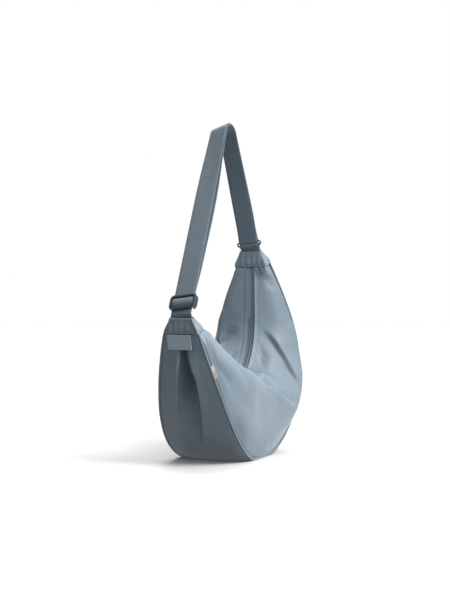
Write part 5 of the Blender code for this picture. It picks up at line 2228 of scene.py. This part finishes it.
    def build_far_loop(self) -> None:
        """Build the webbing that comes up out of the far cap, round the ring and back."""
        path, end = self.path, self.path.far
        half_open = path.ring_stock + self.loop_play + path.gap + path.web_thick / 2
        upward = path.ring_direction()
        outward = Vector((upward.y, -upward.x))
        bar = path.leg_end - upward * path.ring_spacing
        turn = self.half_turn(bar, outward * half_open, upward * (path.wrap + self.loop_crown))
        spots = self.far_loop_leg(1, half_open) + turn + self.far_loop_leg(-1, half_open)[::-1]
        inside, outside = [Vector((0, 1, 0))] * self.loop_steps, [path.side] * len(self.loop_shares)
        ways = [*inside, *outside, *[path.side] * len(turn), *outside, *inside]
        end.soften(self.ribbon("far_webbing_loop_web", spots, ways), "webbing", "far_webbing_loop")


@dataclass
class ThreeBarSlide:
    """Moulded three-bar slide, the sewn end on its middle bar and the strap's rise over it."""

    path: StrapPath
    wardrobe: Wardrobe
    strap: Strap
    edge: float = 0.0011
    middle_radius: float = 0.0019
    window_half: float = 0.0125
    rise: float = 0.0032
    rise_power: float = 0.8
    rise_steps: int = 24
    loop_steps: int = 16
    start_share: float = 0.5
    leave_share: float = 1.5
    drop_share: float = 1.3
    drop_place: float = 0.7
    tail: float = 0.024

    def matrix(self) -> Matrix:
        """Return the slide's placement: X across, Y up the strap, Z outwards."""
        path = self.path
        point, normal = path.base(path.adjust_centre)
        out = path.along * normal.x + path.up * normal.y
        made = Matrix((path.side, path.leg_direction(), out)).transposed().to_4x4()
        made.translation = path.world(point)
        if made.determinant() < 0:
            made = made @ Matrix.Scale(-1, 4, Vector((1, 0, 0)))
        return made

    def webbing(self, name: str, node: str, spots: Sequence[tuple[float, float]]) -> None:
        """Sweep webbing along points given up the strap and outwards, and dress it."""
        matrix = self.matrix()
        places = [matrix @ Vector((0, up, out)) for up, out in spots]
        dress(self.strap.ribbon(name, places, [self.path.side] * len(places)), Body.ADJUSTER, "webbing", node)

    def end_loop(self) -> list[tuple[float, float]]:
        """Return the line of the sewn end round the middle bar."""
        path = self.path
        half, front = path.slide_half, -path.layer_half
        radius = self.middle_radius + path.gap + path.web_thick / 2
        level = front - radius
        line = [(half, front), (half * self.start_share, front), (radius, front)]
        for step in range(1, self.loop_steps + 1):
            angle = math.pi / 2 + math.pi * step / self.loop_steps
            line.append((radius * math.cos(angle), level + radius * math.sin(angle)))
        drop = front - (path.web_thick + path.gap) * self.drop_share
        line.append((radius * self.leave_share, level - radius))
        line += [(half * self.drop_place, drop), (self.tail, drop)]
        return line

    def over_bar(self) -> list[tuple[float, float]]:
        """Return the line of the strap's rise over the middle bar."""
        path = self.path
        low = path.layer_half + path.web_thick + path.gap
        reach = self.window_half - path.gap - path.web_thick / 2
        shares = [2 * step / self.rise_steps - 1 for step in range(self.rise_steps + 1)]
        rises = [self.rise * math.cos(math.pi / 2 * share) ** self.rise_power for share in shares]
        return [(reach * share, low + rise) for share, rise in zip(shares, rises)]

    def build(self) -> None:
        """Build and dress the slide and the webbing that moves with it."""
        slide = refined("three_bar_slide", self.wardrobe.plastic, self.edge)
        dress(slide, Body.ADJUSTER, "fitting_plastic", "three_bar_slide")
        self.webbing("strap_end_loop_web", "strap_end_loop", self.end_loop())
        self.webbing("strap_over_bar_web", "strap_over_bar", self.over_bar())


@dataclass
class Ring:
    """Rectangular ring between the strap and the far webbing loop."""

    path: StrapPath
    wardrobe: Wardrobe
    half_width: float = 0.0325
    steps: int = 16

    def build(self) -> None:
        """Build and dress the ring."""
        path = self.path
        upward = path.ring_direction()
        corner = path.ring_spacing / 2
        middle = path.leg_end - upward * corner
        points = []
        for side in (1, -1):
            for step in range(self.steps + 1):
                angle = math.pi * step / self.steps
                level = corner * math.cos(angle) * side
                reach = side * (self.half_width - path.ring_stock - corner + corner * math.sin(angle))
                points.append(tuple(path.world(middle + upward * level) + path.side * reach))
        normal = path.side.cross(path.along * upward.x + path.up * upward.y)
        line, finish = np.array(points), self.wardrobe.plastic
        ring = cord_tube("far_ring_rod", line, path.ring_stock, finish, 16, True, normal)
        dress(ring, Body.RING, "fitting_plastic", "far_ring")


@dataclass
class ZipRunner:
    """Slider and pull."""

    wardrobe: Wardrobe
    slider_edge: float = 0.0002
    pull_edge: float = 0.0003

    def build(self) -> None:
        """Build and dress the slider and the pull."""
        metal = self.wardrobe.metal
        dress(refined("zip_slider", metal, self.slider_edge), Body.SLIDER, "zip_metal", "zip_slider")
        dress(refined("zip_pull", metal, self.pull_edge), Body.PULL, "zip_metal", "zip_pull")


# Stage


@dataclass
class Studio:
    """Camera, floor and soft light."""

    shape: Crescent
    distance: float = 2.730
    eye: float = 0.361
    aside: float = -0.007
    lens: float = 70.44
    sensor: float = 36.0
    clip: float = 60.0
    offset: float = 0.057
    view: tuple[float, float, float] = (0.92, 0.39, 0.0)
    floor_radius: float = 14.0
    floor_sides: int = 96
    box_aim: tuple[float, float, float] = (0.06, -0.06, 0.25)
    base_glow: float = 0.13
    card_place: float = -0.40
    card_slope: float = 2.4
    card_foot: float = 0.50
    card_top: float = 0.42
    card_edge: float = 4.0
    card_share: float = 0.95
    above_place: float = 0.05
    above_slope: float = 1.7
    above_glow: float = 0.62
    below_place: float = -0.15
    below_slope: float = 2.0
    below_glow: float = 0.72
    window_power: float = 1.5
    window_glow: float = 0.6

    def camera(self) -> None:
        """Set the camera at the photograph's viewing angle."""
        way = Vector(self.view).normalized()
        right = Vector((way.y, -way.x, 0))
        data = bpy.data.cameras.new("photo_camera")
        data.lens = self.lens
        data.sensor_width = self.sensor
        data.clip_end = self.clip
        item = link_object("photo_camera", data)
        shift = self.offset + self.shape.frame_x
        item.location = Vector((shift, 0, self.eye)) - way * self.distance + right * self.aside
        item.rotation_euler = way.to_track_quat("-Z", "Y").to_euler()
        bpy.context.scene.camera = item

    def floor(self) -> None:
        """Lay a large plain floor."""
        count, radius = self.floor_sides, self.floor_radius
        turns = [math.tau * index / count for index in range(count)]
        rim = [(radius * math.cos(turn), radius * math.sin(turn), 0.0) for turn in turns]
        points = [(0.0, 0.0, 0.0), *rim]
        faces = [(0, 1 + index, 1 + (index + 1) % count) for index in range(count)]
        paper = FloorFinish("floor_paper", (0.48, 0.48, 0.485), (0.50, 0.50, 0.505)).make()
        floor = add_mesh("studio_floor", points, faces, paper)
        floor.visible_diffuse = False

    def sun(self, name: str, towards: Sequence[float], spread: float, strength: float) -> None:
        """Hang one soft, far light.

        Args:
            name: Name of the light.
            towards: Direction from the bag to the light.
            spread: Angle over which the light is spread, in degrees.
            strength: Strength of the light.
        """
        data = bpy.data.lights.new(name, "SUN")
        data.angle = math.radians(spread)
        data.energy = strength
        link_object(name, data).rotation_euler = Vector(towards).to_track_quat("Z", "Y").to_euler()

    def softbox(self, spot: Sequence[float], size: float, power: float) -> None:
        """Place a square softbox that faces the far horn.

        Args:
            spot: Middle of the softbox.
            size: Length of its edges.
            power: Power of its lamp.
        """
        data = bpy.data.lights.new("softbox", "AREA")
        data.size = size
        data.energy = power
        item = link_object("softbox", data)
        item.location = spot
        item.rotation_euler = (Vector(spot) - Vector(self.box_aim)).to_track_quat("Z", "Y").to_euler()

    def surroundings(self) -> None:
        """Make the studio's walls: white to look at, and dimmer below and towards the camera as light."""
        world = bpy.data.worlds.new("studio")
        paint = Paint(world)
        ahead, aside, height = paint.split(paint.node("ShaderNodeTexCoord", output="Generated"))
        card = ((self.card_place - ahead) * self.card_slope).clamped()
        card = card * ((self.card_top - height) * self.card_edge).clamped()
        card = card * ((height + self.card_foot) * self.card_edge).clamped()
        above = ((height + self.above_place) * self.above_slope).clamped() * self.above_glow
        below = ((self.below_place - height) * self.below_slope).clamped() * self.below_glow
        window = (-1 * aside).clamped() ** self.window_power * self.window_glow
        glow = (self.base_glow + above + below + window) * (1 - card * self.card_share)
        seen = paint.node("ShaderNodeLightPath", output="Is Camera Ray")
        strength = glow * (1 - seen) + seen
        sky = paint.node("ShaderNodeBackground", None, {"Color": (1.0, 1.0, 1.0, 1.0), "Strength": strength})
        paint.node("ShaderNodeOutputWorld", None, {"Surface": sky})
        bpy.context.scene.world = world

    def build(self) -> None:
        """Set the camera, the floor, the lights and the pale surroundings."""
        self.camera()
        self.floor()
        self.sun("window_light", (0.12, -0.64, 0.76), 40, 2.2)
        self.sun("top_light", (0.44, 0.20, 0.84), 44, 3.3)
        self.softbox((-0.20, -0.92, 0.86), 0.5, 14.5)
        self.surroundings()
        bpy.context.scene.view_settings.view_transform = "Standard"


def main() -> None:
    """Build the bag piece by piece and report each one."""
    logging.basicConfig(level=logging.INFO, format="%(name)s %(message)s")
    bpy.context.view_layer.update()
    wardrobe = Wardrobe.make()
    shape = Crescent()
    near = HornEnd(shape, shape.near, "near", wardrobe, 0.0029)
    far = HornEnd(shape, shape.far, "far", wardrobe, 0.0041)
    path = StrapPath(near, far)
    Studio(shape).build()
    skin = ShellSkin(shape, wardrobe)
    skin.build()
    skin.build_lining()
    ZipTrack(shape, wardrobe).build()
    ZipRunner(wardrobe).build()
    near.build()
    Patch(shape, shape.near, "near", wardrobe, (0.04, 0.94), 0.005).build()
    far.build()
    Patch(shape, shape.far, "far", wardrobe, (0.06, 0.96)).build()
    SideTag(shape, wardrobe).build()
    strap = Strap(path, wardrobe)
    strap.build()
    ThreeBarSlide(path, wardrobe, strap).build()
    Ring(path, wardrobe).build()


if __name__ == "__main__":
    main()
